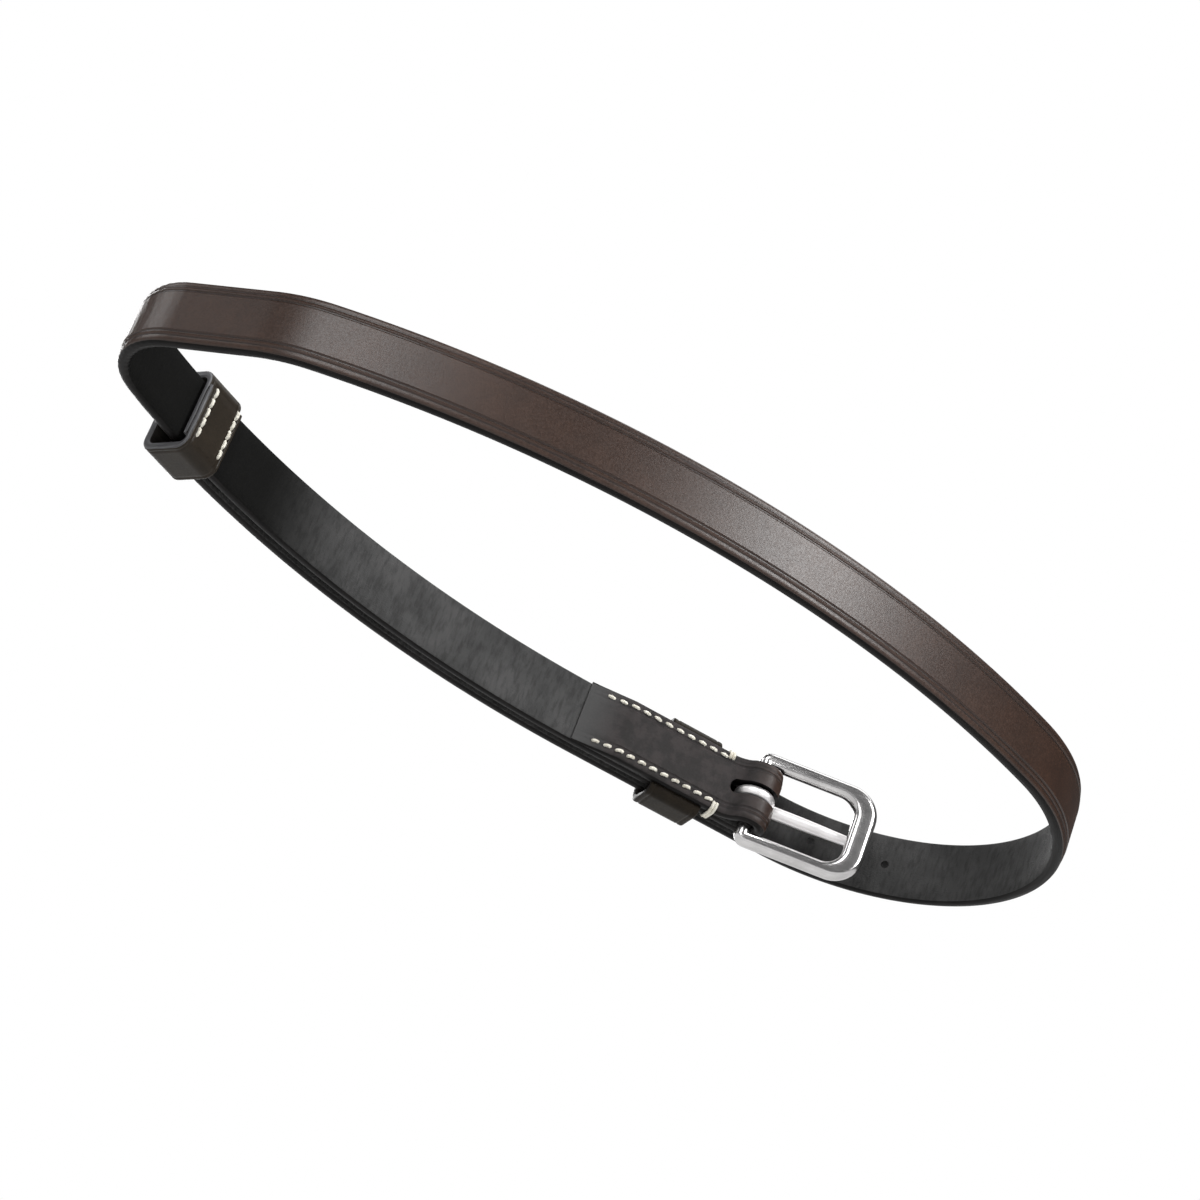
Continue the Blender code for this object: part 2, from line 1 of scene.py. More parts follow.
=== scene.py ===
"""Looks of a flash nose strap: the leather, the stitching and the steel round the CAD frame.

Each piece of leather is made flat, as it is on the bench: swept to its section, cut and
marked with its flat coordinates. Then it is bent along its route in the loop, and its
materials go on reading the flat coordinates. All sizes are in metres.
"""

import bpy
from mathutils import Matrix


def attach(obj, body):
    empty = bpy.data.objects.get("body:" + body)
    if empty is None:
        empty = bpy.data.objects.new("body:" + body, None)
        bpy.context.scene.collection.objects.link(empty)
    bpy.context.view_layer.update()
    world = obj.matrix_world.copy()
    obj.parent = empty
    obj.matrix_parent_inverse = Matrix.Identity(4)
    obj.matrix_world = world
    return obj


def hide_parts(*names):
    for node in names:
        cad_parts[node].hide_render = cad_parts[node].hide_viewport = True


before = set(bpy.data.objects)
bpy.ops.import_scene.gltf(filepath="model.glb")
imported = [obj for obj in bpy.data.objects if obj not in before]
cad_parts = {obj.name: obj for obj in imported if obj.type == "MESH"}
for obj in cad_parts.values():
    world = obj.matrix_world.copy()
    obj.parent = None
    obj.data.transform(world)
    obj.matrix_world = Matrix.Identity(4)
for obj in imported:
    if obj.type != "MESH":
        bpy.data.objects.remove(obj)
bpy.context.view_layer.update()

import functools
import logging
import math
from abc import ABC, abstractmethod
from collections.abc import Callable, Sequence
from dataclasses import dataclass, field
from enum import Enum, IntEnum
from typing import Any, ClassVar

import bmesh
import bpy
import numpy as np
from mathutils import Matrix, Vector

log = logging.getLogger("flash_nose_strap")

Leg = tuple[float, float]
Colour = tuple[float, float, float]
Place = tuple[float, float, float]
Outline = list[tuple[float, float]]

FLAT_PLACE = "flat_place"
MERGE_DISTANCE = 1e-7

# Numbers of the sockets that a Mix node has for colours and a Random Value node for floats
MIX_FIRST, MIX_SECOND, MIX_RESULT = 6, 7, 2
RANDOM_LOW, RANDOM_HIGH, RANDOM_RESULT = 2, 3, 1


class Body(Enum):
    """The bodies that the pieces ride on."""

    STRAP = "strap"
    BUCKLE = "buckle"
    PRONG = "prong"
    SLIDING_KEEPER = "sliding_keeper"


class Slot(Enum):
    """The record's material slots."""

    STRAP_LEATHER = "strap_leather"
    KEEPER_LEATHER = "keeper_leather"
    BUCKLE_STEEL = "buckle_steel"
    STITCHING_THREAD = "stitching_thread"


class Side(Enum):
    """The sides of a strip of leather, as its material numbers."""

    GRAIN = 0
    FLESH = 1
    EDGE = 2


class Mark(IntEnum):
    """Places on the strap's route, as the numbers of its marks from the billet's tip."""

    TIP = 0
    CHIN_END = 3
    SEAT_MIDDLE = 6
    CHEEK_START = 7
    CHEEK_END = 8
    BAR = 10
    FOLD_END = 11


Dressing = dict[Side, bpy.types.Material]


# Node trees


class NodeGraph:
    """A node tree, with short ways to add nodes and to join them."""

    def __init__(self, tree: bpy.types.NodeTree) -> None:
        """Keeps the tree."""
        self.tree = tree

    def fill(self, node: bpy.types.Node, inputs: dict[Any, Any]) -> None:
        """Sets a node's inputs.

        Args:
            node: The node.
            inputs: Input name or number to a value, or to the socket it is joined to.
        """
        for key, value in inputs.items():
            if isinstance(value, bpy.types.NodeSocket):
                self.tree.links.new(value, node.inputs[key])
            else:
                node.inputs[key].default_value = value

    def add(self, kind: str, inputs: dict[Any, Any] | None = None, **settings: Any) -> bpy.types.Node:
        """Adds a node.

        Args:
            kind: The node's type.
            inputs: Its inputs, as for fill.
            settings: Properties of the node.

        Returns:
            The node.
        """
        node = self.tree.nodes.new(kind)
        for name, value in settings.items():
            setattr(node, name, value)
        self.fill(node, inputs or {})
        return node

    def out(self, kind: str, inputs: dict[Any, Any] | None = None, **settings: Any) -> Any:
        """Adds a node and returns its first output."""
        return self.add(kind, inputs, **settings).outputs[0]

    def maths(self, operation: str, *values: Any) -> Any:
        """Adds a Math node and returns its result."""
        return self.out("ShaderNodeMath", dict(enumerate(values)), operation=operation)

    def highest(self, *values: Any) -> Any:
        """Returns the highest of several values."""
        return functools.reduce(lambda first, second: self.maths("MAXIMUM", first, second), values)

    def between(self, value: Any, low: float, high: float, start: float = 0, end: float = 1) -> Any:
        """Maps a value smoothly from the range low to high onto start to end."""
        inputs = {"Value": value, "From Min": low, "From Max": high, "To Min": start, "To Max": end}
        return self.out("ShaderNodeMapRange", inputs, interpolation_type="SMOOTHSTEP")

    def mixed(self, share: Any, first: Any, second: Any) -> Any:
        """Mixes two colours.

        Args:
            share: The second one's share.
            first: The first colour.
            second: The second colour.

        Returns:
            The mixed colour.
        """
        first, second = ((*colour, 1) if isinstance(colour, tuple) else colour for colour in (first, second))
        inputs = {0: share, MIX_FIRST: first, MIX_SECOND: second}
        return self.add("ShaderNodeMix", inputs, data_type="RGBA").outputs[MIX_RESULT]

    def scaled(self, place: Any, factors: Place) -> Any:
        """Stretches a place by a factor for each axis."""
        return self.out("ShaderNodeMapping", {"Vector": place, "Scale": factors})

    def bump(self, height: Any, strength: float, depth: float) -> Any:
        """Adds a Bump node and returns its normal."""
        return self.out("ShaderNodeBump", {"Height": height, "Strength": strength, "Distance": depth})

    def flat_place(self) -> Any:
        """Returns the place on the flat strip, as (along, depth, across)."""
        return self.add("ShaderNodeAttribute", attribute_name=FLAT_PLACE).outputs["Vector"]

    def object_place(self) -> Any:
        """Returns the place in the object's coordinates."""
        return self.add("ShaderNodeTexCoord").outputs["Object"]


def new_surface(name: str) -> tuple[bpy.types.Material, NodeGraph, bpy.types.Node]:
    """Starts a material.

    Args:
        name: The material's name.

    Returns:
        The material, its graph and its Principled shader.
    """
    made = bpy.data.materials.new(name)
    made.use_nodes = True
    return made, NodeGraph(made.node_tree), made.node_tree.nodes["Principled BSDF"]


def start_tree(name: str, result: str, inputs: dict[str, str]) -> tuple[NodeGraph, Any]:
    """Starts a Geometry Nodes tree.

    Args:
        name: The tree's name.
        result: The name of the geometry that it gives out.
        inputs: Each input's name and kind.

    Returns:
        The tree's graph, and its inputs' sockets by name.
    """
    tree = bpy.data.node_groups.new(name, "GeometryNodeTree")
    tree.interface.new_socket(result, in_out="OUTPUT", socket_type="NodeSocketGeometry")
    for label, kind in inputs.items():
        tree.interface.new_socket(label, in_out="INPUT", socket_type=f"NodeSocket{kind}")
    graph = NodeGraph(tree)
    return graph, graph.add("NodeGroupInput").outputs


def end_tree(graph: NodeGraph, geometry: Any, material: Any) -> bpy.types.NodeTree:
    """Ends a Geometry Nodes tree with real geometry in a material.

    Args:
        graph: The tree's graph.
        geometry: What it made.
        material: What dresses it.

    Returns:
        The tree.
    """
    real = graph.out("GeometryNodeRealizeInstances", {0: geometry})
    dressed = graph.out("GeometryNodeSetMaterial", {"Geometry": real, "Material": material})
    graph.add("NodeGroupOutput", {0: dressed})
    return graph.tree


def swept(graph: NodeGraph, line: Any, section: Any) -> Any:
    """Sweeps a section object along a line, with closed ends."""
    profile = graph.add("GeometryNodeObjectInfo", {"Object": section}).outputs["Geometry"]
    return graph.out("GeometryNodeCurveToMesh", {"Curve": line, "Profile Curve": profile, "Fill Caps": True})


def run_tree(tree: bpy.types.NodeTree, source: bpy.types.Object, inputs: dict[str, Any]) -> None:
    """Puts a Geometry Nodes tree on an object.

    Args:
        tree: The tree.
        source: The object.
        inputs: The tree's inputs by name.
    """
    change = source.modifiers.new(tree.name, "NODES")
    change.node_group = tree
    for item in tree.interface.items_tree:
        if item.in_out == "INPUT" and item.name in inputs:
            change[item.identifier] = inputs[item.name]


# Finishes


@dataclass(frozen=True)
class Pattern:
    """A noise over a surface. It tints a colour by nothing at low, and by its share at high."""

    scale: float | Place
    detail: float
    low: float = 0.0
    high: float = 1.0
    share: float = 1.0
    roughness: float = 0.55

    def value(self, graph: NodeGraph, place: Any) -> Any:
        """Adds the noise.

        Args:
            graph: The material's graph.
            place: The place that it reads. A scale for each axis stretches it.

        Returns:
            The noise's value.
        """
        scale = self.scale
        if isinstance(scale, tuple):
            place, scale = graph.scaled(place, scale), 1
        inputs = {"Vector": place, "Scale": scale, "Detail": self.detail, "Roughness": self.roughness}
        return graph.out("ShaderNodeTexNoise", inputs)

    def tinted(self, graph: NodeGraph, value: Any, colour: Any, tint: Any) -> Any:
        """Tints a colour by the noise's value."""
        return graph.mixed(graph.between(value, self.low, self.high, 0, self.share), colour, tint)


@dataclass(frozen=True)
class GrainFinish:
    """The finished grain side: dyed, polished, darker in its creases and along its borders, and from a given
    place to its end matt, and darker and greyer by painted shade.
    """

    name: str
    base: Colour
    light: Colour
    dark: Colour
    half_width: float
    creases: tuple[float, ...] = ()
    crease_reach: float = 0.00028
    crease_share: float = 0.75
    border: float = 0.0007
    border_share: float = 0.85
    polish: float = 0.32
    matt: float = 0.42
    matt_levels: tuple[float, float] = (0.25, 0.75)
    specular: float = 0.42
    broad: Pattern = Pattern(60, 3, 0.30, 0.75)
    middle: Pattern = Pattern(420, 5, 0.68, 0.32, 0.18)
    fine: Pattern = Pattern(2600, 3, 0.60, 0.40, 0.22, 0.6)
    pore_scale: float = 1500
    pore_height: float = 0.5
    middle_height: float = 0.5
    bump: float = 0.07
    bump_depth: float = 0.0002
    # Painted shade on the matt stretch: its colours, their mottle and how much they cover
    dull: Colour = (0.0085, 0.0078, 0.0082)
    dull_shade_light: Colour = (0.024, 0.020, 0.0205)
    dull_shade_levels: tuple[float, float] = (0.38, 0.62)
    painted_dull_shade_share: float = 0.9
    dull_roughness: float = 0.80
    dull_and_shade_from: float = 1.0
    dull_and_shade_over: float = 0.006
    worn: Colour = (0.055, 0.055, 0.055)
    worn_share: float = 0.9
    worn_to: float = 2.0
    worn_over: float = 0.009

    def material(self) -> bpy.types.Material:
        """Makes the material.

        Returns:
            The material.
        """
        made, graph, shader = new_surface(self.name)
        place = graph.flat_place()
        broad, middle, fine = (one.value(graph, place) for one in (self.broad, self.middle, self.fine))
        pore_inputs = {"Vector": place, "Scale": self.pore_scale, "Randomness": 1}
        pores = graph.add("ShaderNodeTexVoronoi", pore_inputs).outputs["Distance"]
        along, _, across = graph.add("ShaderNodeSeparateXYZ", {0: place}).outputs
        reach = graph.maths("ABSOLUTE", across)
        dulled_and_shaded = graph.between(along, self.dull_and_shade_from, self.dull_and_shade_from + self.dull_and_shade_over)

        colour = self.broad.tinted(graph, broad, self.base, self.light)
        colour = self.middle.tinted(graph, middle, colour, self.dark)
        colour = self.fine.tinted(graph, fine, colour, self.dark)
        edge = graph.between(reach, self.half_width - self.border, self.half_width, 0, self.border_share)
        colour = graph.mixed(edge, colour, self.dark)
        for from_edge in self.creases:
            off = graph.maths("ABSOLUTE", graph.maths("SUBTRACT", reach, self.half_width - from_edge))
            crease = graph.between(off, self.crease_reach, 0, 0, self.crease_share)
            colour = graph.mixed(crease, colour, self.dark)
        # Painted shade: the colour goes darker and greyer over the matt stretch; only the roughness rise
        # there is real
        mottled_dull_shade = graph.mixed(graph.between(middle, *self.dull_shade_levels), self.dull, self.dull_shade_light)
        colour = graph.mixed(graph.maths("MULTIPLY", dulled_and_shaded, self.painted_dull_shade_share), colour, mottled_dull_shade)
        worn = graph.between(along, self.worn_to - self.worn_over, self.worn_to, 0, self.worn_share)

        rough = graph.between(fine, *self.matt_levels, self.polish, self.matt)
        height = graph.maths("MULTIPLY_ADD", pores, self.pore_height, fine)
        height = graph.maths("MULTIPLY_ADD", middle, self.middle_height, height)
        graph.fill(shader, {
            "Base Color": graph.mixed(worn, colour, self.worn),
            "Roughness": graph.maths("MULTIPLY_ADD", dulled_and_shaded, self.dull_roughness - self.matt, rough),
            "Specular IOR Level": self.specular,
            "Normal": graph.bump(height, self.bump, self.bump_depth),
        })
        return made


@dataclass(frozen=True)
class PaintedShadeStretch:
    """A stretch along a strip whose colour is darkened by a share: painted shade."""

    start: float
    end: float
    share: float


@dataclass(frozen=True)
class FleshFinish:
    """The flesh side: matt, with short fibres and fine wrinkles across the strip, and painted shade darkening
    its colour over given stretches.
    """

    name: str
    base: Colour
    light: Colour
    dark: Colour
    painted_shade_stretches: tuple[PaintedShadeStretch, ...] = ()
    painted_shade_over: float = 0.028
    broad: Pattern = Pattern(75, 4, 0.36, 0.66)
    wrinkle: Pattern = Pattern((1100, 1100, 330), 5, 0.60, 0.32, 0.32, 0.65)
    fibre: Pattern = Pattern((1800, 1800, 3600), 4, 0.55, 0.75, 0.35, 0.65)
    fibre_height: float = 0.7
    bump: float = 0.5
    bump_depth: float = 0.0003
    roughness: float = 0.78
    specular: float = 0.06

    def material(self) -> bpy.types.Material:
        """Makes the material.

        Returns:
            The material.
        """
        made, graph, shader = new_surface(self.name)
        place = graph.flat_place()
        broad, wrinkle, fibre = (one.value(graph, place) for one in (self.broad, self.wrinkle, self.fibre))
        colour = self.broad.tinted(graph, broad, self.base, self.light)
        colour = self.wrinkle.tinted(graph, wrinkle, colour, self.dark)
        colour = self.fibre.tinted(graph, fibre, colour, self.light)
        along = graph.out("ShaderNodeSeparateXYZ", {0: place})
        # Painted shade: over each stretch the colour is pulled towards the dark colour by its share
        for stretch in self.painted_shade_stretches:
            begun = graph.between(along, stretch.start - self.painted_shade_over, stretch.start)
            ended = graph.between(along, stretch.end + self.painted_shade_over, stretch.end, 0, stretch.share)
            colour = graph.mixed(graph.maths("MULTIPLY", begun, ended), colour, self.dark)
        height = graph.maths("MULTIPLY_ADD", fibre, self.fibre_height, wrinkle)
        graph.fill(shader, {
            "Base Color": colour,
            "Roughness": self.roughness,
            "Specular IOR Level": self.specular,
            "Normal": graph.bump(height, self.bump, self.bump_depth),
        })
        return made


@dataclass(frozen=True)
class EdgeFinish:
    """A cut edge: dyed and rubbed smooth along its length, or left raw."""

    name: str
    base: Colour
    light: Colour
    roughness: float = 0.42
    smoother: float = 0.08
    rougher: float = 0.1
    rough_levels: tuple[float, float] = (0.3, 0.7)
    specular: float = 0.1
    layers: Pattern = Pattern((180, 2600, 2600), 4, 0.42, 0.7)
    bump: float = 0.3
    bump_depth: float = 0.0002

    def material(self) -> bpy.types.Material:
        """Makes the material.

        Returns:
            The material.
        """
        made, graph, shader = new_surface(self.name)
        layers = self.layers.value(graph, graph.flat_place())
        smooth, rough = self.roughness - self.smoother, self.roughness + self.rougher
        graph.fill(shader, {
            "Base Color": self.layers.tinted(graph, layers, self.base, self.light),
            "Roughness": graph.between(layers, *self.rough_levels, smooth, rough),
            "Specular IOR Level": self.specular,
            "Normal": graph.bump(layers, self.bump, self.bump_depth),
        })
        return made


@dataclass(frozen=True)
class SteelFinish:
    """Stainless steel with fine rubbing marks."""

    name: str
    base: Colour
    dull: Colour
    polish: float
    matt: float
    broad: Pattern = Pattern(160, 2, 0.35, 0.7)
    marks: Pattern = Pattern((420, 420, 3600), 3, 0.2, 0.8)

    def material(self) -> bpy.types.Material:
        """Makes the material.

        Returns:
            The material.
        """
        made, graph, shader = new_surface(self.name)
        place = graph.object_place()
        marks = self.marks.value(graph, place)
        graph.fill(shader, {
            "Base Color": self.broad.tinted(graph, self.broad.value(graph, place), self.base, self.dull),
            "Roughness": graph.between(marks, self.marks.low, self.marks.high, self.polish, self.matt),
            "Metallic": 1,
        })
        return made


SATIN_STEEL = SteelFinish(
    "satin_steel", base=(0.60, 0.59, 0.59), dull=(0.52, 0.51, 0.51), polish=0.20, matt=0.26
)
# The prong's steel: rougher than the frame's, and paler in colour than the same steel on the frame, which is
# painted light
RUBBED_STEEL_WITH_PAINTED_LIGHT = SteelFinish(
    "rubbed_steel", base=(0.92, 0.90, 0.90), dull=(0.84, 0.82, 0.82), polish=0.42, matt=0.50
)


@dataclass(frozen=True)
class ThreadFinish:
    """Waxed linen thread."""

    name: str = "waxed_linen"
    base: Colour = (0.80, 0.77, 0.68)
    shade: Colour = (0.55, 0.50, 0.40)
    soil: Pattern = Pattern(700, 3, 0.48, 0.72, 0.7)
    fuzz: Pattern = Pattern(5200, 3)
    roughness: float = 0.62
    bump: float = 0.3
    bump_depth: float = 0.0001

    def material(self) -> bpy.types.Material:
        """Makes the material.

        Returns:
            The material.
        """
        made, graph, shader = new_surface(self.name)
        place = graph.object_place()
        graph.fill(shader, {
            "Base Color": self.soil.tinted(graph, self.soil.value(graph, place), self.base, self.shade),
            "Roughness": self.roughness,
            "Normal": graph.bump(self.fuzz.value(graph, place), self.bump, self.bump_depth),
        })
        return made


# Routes and sizes


class Route:
    """A plane route of straight and round legs, each a (length, turn), left turns positive."""

    def __init__(self, start: Sequence[float], heading: float, legs: Sequence[Leg]) -> None:
        """Keeps the legs and works out where each one starts.

        Args:
            start: The first point.
            heading: The direction there.
            legs: The legs in order.
        """
        self.legs = list(legs)
        self.marks = [0.0]
        self.starts = [(np.array(start[:2], float), heading)]
        for leg in self.legs:
            point, angle = self._ahead(*self.starts[-1], leg, np.array([leg[0]]))
            self.starts.append((point[0], float(angle[0])))
            self.marks.append(self.marks[-1] + leg[0])

    @staticmethod
    def _ahead(start: np.ndarray, heading: float, leg: Leg, way: np.ndarray) -> tuple[np.ndarray, np.ndarray]:
        """Follows one leg.

        Args:
            start: The point where it starts.
            heading: The direction there.
            leg: The leg.
            way: Distances from its start.

        Returns:
            The points and the headings there.
        """
        length, turn = leg
        if not turn:
            return start + way[:, None] * [math.cos(heading), math.sin(heading)], np.full(len(way), heading)
        radius = length / turn
        angle = heading + way / radius
        rise = np.stack([np.sin(angle) - math.sin(heading), math.cos(heading) - np.cos(angle)], 1)
        return start + radius * rise, angle

    @property
    def length(self) -> float:
        """The whole length."""
        return self.marks[-1]

    @property
    def end(self) -> tuple[np.ndarray, float]:
        """The last point and its heading."""
        return self.starts[-1]

    def at(self, along: np.ndarray) -> tuple[np.ndarray, np.ndarray]:
        """Places distances on the route.

        Args:
            along: Distances from the start. Those past an end carry on along the end leg.

        Returns:
            The points and the headings there.
        """
        points, headings = np.zeros((len(along), 2)), np.zeros(len(along))
        index = np.searchsorted(self.marks[1:-1], along, side="right")
        for i, leg in enumerate(self.legs):
            chosen = index == i
            way = along[chosen] - self.marks[i]
            points[chosen], headings[chosen] = self._ahead(*self.starts[i], leg, way)
        return points, headings


def bend(radius: float, turn: float) -> Leg:
    """The leg of a round bend."""
    return radius * abs(turn), turn


def outward_and_wide(matrix: Matrix) -> Matrix:
    """The matrix turned so that a flat route lies outwards and across the strap's width."""
    return matrix @ Matrix(((0, 0, 1, 0), (1, 0, 0, 0), (0, 1, 0, 0), (0, 0, 0, 1)))


@dataclass(frozen=True)
class LoopShape:
    """The strap's loop in plan, along the middle of its thickness, as the CAD has it."""

    width: float = 0.013
    thickness: float = 0.0025
    seat_length: float = 0.016
    cheek_radius: float = 0.0132
    cheek_turn: float = math.radians(98.3)
    back_radius: float = 0.1686
    back_turn: float = math.radians(39.8)
    chape_length: float = 0.035
    shoulder_radius: float = 0.030
    shoulder_turn: float = math.radians(20.7)
    chin_radius: float = 0.0383
    billet_run: float = 0.00698
    layer_step: float = 0.0035
    tail_length: float = 0.107
    fold_radius: float = 0.00305
    fold_back_radius: float = 0.005
    chape_step: float = 0.0026
    turnback_length: float = 0.0375
    frame_rest_angle: float = math.radians(15)
    keeper_from_cheek: float = 0.018

    def back_legs(self) -> list[Leg]:
        """Gives the legs from the seat's middle to the heel bar.

        Returns:
            The legs: half the seat, the cheek bend, the back run and the chape.
        """
        return [
            (self.seat_length / 2, 0),
            bend(self.cheek_radius, -self.cheek_turn),
            bend(self.back_radius, -self.back_turn),
            (self.chape_length, 0),
        ]

    def back_route(self) -> Route:
        """The route from the seat's middle to the heel bar."""
        return Route((0, 0), math.pi, self.back_legs())

    def fold_run(self) -> float:
        """How far back from the bar the fold's second bend ends."""
        return (self.fold_radius + self.fold_back_radius) * math.sin(self.fold_over_turn())

    def fold_over_turn(self) -> float:
        """How far past half a turn the fold goes before it comes back to the body."""
        rise = 2 * self.fold_radius - self.chape_step
        return math.acos(1 - rise / (self.fold_radius + self.fold_back_radius))

    def fold_legs(self) -> list[Leg]:
        """Gives the legs round the heel bar and back along the flesh side.

        Returns:
            The legs: the fold, its bend back and the turn-back.
        """
        over_turn = self.fold_over_turn()
        return [
            bend(self.fold_radius, -math.pi - over_turn),
            bend(self.fold_back_radius, over_turn),
            (self.turnback_length - self.fold_run(), 0),
        ]

    def billet_legs(self) -> list[Leg]:
        """Works out the legs from the seat's middle, along the front run and the chin bend.

        Returns:
            The legs, the last one to the billet's tip. The front run's arc goes smoothly from
            the shoulder into the chin bend.
        """
        first = [(self.seat_length / 2, 0), bend(self.shoulder_radius, self.shoulder_turn)]
        front_start, front_heading = Route((0, 0), 0, first).end
        bar, heading = self.back_route().end
        along = np.array([math.cos(heading), math.sin(heading)])
        outward = np.array([-along[1], along[0]])
        centre = bar + self.billet_run * along + (self.layer_step - self.chin_radius) * outward
        offset = front_start - centre
        inward = np.array([-math.sin(front_heading), math.cos(front_heading)])
        spare = self.chin_radius**2 - offset @ offset
        front_radius = spare / (offset @ inward + self.chin_radius) / 2
        away = centre - front_start - front_radius * inward
        chin_heading = math.atan2(away[1], away[0]) + math.pi / 2
        tail_radius = self.back_radius + self.layer_step
        return first + [
            bend(front_radius, chin_heading - front_heading),
            bend(self.chin_radius, heading + math.pi - chin_heading),
            (self.billet_run + self.chape_length, 0),
            bend(tail_radius, self.tail_length / tail_radius),
        ]

    def strap_route(self) -> Route:
        """Works out the whole strap's route.

        Returns:
            The route from the billet's tip to the turn-back's end, with its places as in Mark.
        """
        legs = self.billet_legs()
        tip, heading = Route((0, 0), 0, legs).end
        back_to_seat = [(length, -turn) for length, turn in reversed(legs)]
        return Route(tip, heading + math.pi, back_to_seat + self.back_legs() + self.fold_legs())

    def chape_matrix(self) -> Matrix:
        """Works out the chape's frame.

        Returns:
            Its place on the heel bar's axis, x towards the buckle's end, y out of the loop.
        """
        point, heading = self.back_route().end
        outward = Vector((-math.sin(heading), math.cos(heading), 0))
        origin = Vector((*point, 0)) - self.fold_radius * outward
        return Matrix.Translation(origin) @ Matrix.Rotation(heading, 4, "Z")

    def buckle_matrix(self) -> Matrix:
        """The chape's frame with the buckle tipped into the loop."""
        return self.chape_matrix() @ Matrix.Rotation(-self.frame_rest_angle, 4, "Z")

    def sliding_keeper_matrix(self) -> Matrix:
        """Works out the sliding keeper's frame.

        Returns:
            Its place on the back arc's centre, y out through the keeper's middle.
        """
        point, heading = Route((0, 0), math.pi, self.back_legs()[:2]).end
        inward = Vector((math.sin(heading), -math.cos(heading), 0))
        centre = Vector((*point, 0)) + self.back_radius * inward
        turned = heading - self.keeper_from_cheek / self.back_radius
        return Matrix.Translation(centre) @ Matrix.Rotation(turned, 4, "Z")


# Meshes


def linked(name: str, data: Any) -> bpy.types.Object:
    """Makes an object in the scene.

    Args:
        name: The object's name.
        data: Its mesh, curve, lamp or camera.

    Returns:
        The object.
    """
    made = bpy.data.objects.new(name, data)
    bpy.context.scene.collection.objects.link(made)
    return made


def plain(source: bpy.types.Object, name: str, remove: Sequence[bpy.types.Object] = ()) -> bpy.types.Object:
    """Turns a curve, or an object with modifiers, into a plain mesh object.

    Args:
        source: The object. It is removed.
        name: The new object's name.
        remove: Other objects that were only needed to make it.

    Returns:
        The plain mesh object, with its place in its mesh.
    """
    bpy.context.view_layer.update()
    graph = bpy.context.evaluated_depsgraph_get()
    mesh = bpy.data.meshes.new_from_object(
        source.evaluated_get(graph), preserve_all_data_layers=True, depsgraph=graph
    )
    mesh.transform(source.matrix_world)
    for old in (source, *remove):
        bpy.data.objects.remove(old)
    made = linked(name, mesh)
    mesh.name = name
    return made


def read_points(mesh: bpy.types.Mesh) -> np.ndarray:
    """Reads a mesh's points.

    Args:
        mesh: The mesh.

    Returns:
        The points, one in a row.
    """
    flat = np.zeros(len(mesh.vertices) * 3)
    mesh.vertices.foreach_get("co", flat)
    return flat.reshape(-1, 3)


def merged_and_outward(mesh: bpy.types.Mesh) -> None:
    """Merges doubled points and turns every face outwards.

    Args:
        mesh: The mesh of a closed piece.
    """
    shape = bmesh.new()
    shape.from_mesh(mesh)
    bmesh.ops.remove_doubles(shape, verts=shape.verts, dist=MERGE_DISTANCE)
    bmesh.ops.recalc_face_normals(shape, faces=shape.faces)
    if shape.calc_volume(signed=True) < 0:
        bmesh.ops.reverse_faces(shape, faces=shape.faces)
    shape.to_mesh(mesh)
    shape.free()


def smoothed(piece: bpy.types.Object, degrees: float) -> None:
    """Shades a piece smooth, sharp at edges over an angle."""
    piece.data.shade_smooth()
    piece.data.set_sharp_from_angle(angle=math.radians(degrees))


def poly_curve(
    name: str, points: Sequence[Sequence[float]], cyclic: bool = False, dimensions: str = "3D"
) -> bpy.types.Object:
    """Makes a curve object of one straight-edged spline.

    Args:
        name: The object's name.
        points: The spline's points.
        cyclic: Whether it is closed.
        dimensions: "2D" for one that is filled.

    Returns:
        The curve object.
    """
    data = bpy.data.curves.new(name, "CURVE")
    data.dimensions = dimensions
    spline = data.splines.new("POLY")
    spline.points.add(len(points) - 1)
    for target, point in zip(spline.points, points):
        target.co = (*Vector(point).to_3d(), 1)
    spline.use_cyclic_u = cyclic
    return linked(name, data)


def rounded_outline(
    low: Sequence[float], high: Sequence[float], radii: Sequence[float], steps: int
) -> Outline:
    """Draws a rectangle with rounded corners.

    Args:
        low: Its lowest corner.
        high: Its highest corner.
        radii: The radius at each corner, counter-clockwise from the lowest.
        steps: Edges in each rounded corner.

    Returns:
        The outline, counter-clockwise.
    """
    corners = [(low[0], low[1]), (high[0], low[1]), (high[0], high[1]), (low[0], high[1])]
    signs = [(1, 1), (-1, 1), (-1, -1), (1, -1)]
    points: Outline = []
    for i, (corner, sign, radius) in enumerate(zip(corners, signs, radii)):
        centre = (corner[0] + sign[0] * radius, corner[1] + sign[1] * radius)
        for j in range(steps + 1 if radius else 1):
            angle = math.pi + (i + j / steps) * math.pi / 2
            points.append((centre[0] + radius * math.cos(angle), centre[1] + radius * math.sin(angle)))
    return points


def round_ended(start: float, end: float, half: float, steps: int) -> Outline:
    """The outline of a slot with round ends, or of a circle."""
    return rounded_outline((start, -half), (end, half), [half] * 4, steps)


def plate(
    name: str, outline: Outline, half_depth: float, rounding: float, steps: int, place: Matrix
) -> bpy.types.Object:
    """Makes a plate with rounded edges.

    Args:
        name: The object's name.
        outline: The plate's closed outline.
        half_depth: Half its depth.
        rounding: The radius of its edges.
        steps: How finely they are rounded.
        place: Where it goes.

    Returns:
        The plate as a plain mesh.
    """
    source = poly_curve(name, outline, cyclic=True, dimensions="2D")
    source.data.fill_mode = "BOTH"
    source.data.extrude = half_depth - rounding
    source.data.bevel_depth = rounding
    source.data.bevel_resolution = steps
    source.data.offset = -rounding
    source.matrix_world = place
    made = plain(source, name)
    merged_and_outward(made.data)
    return made


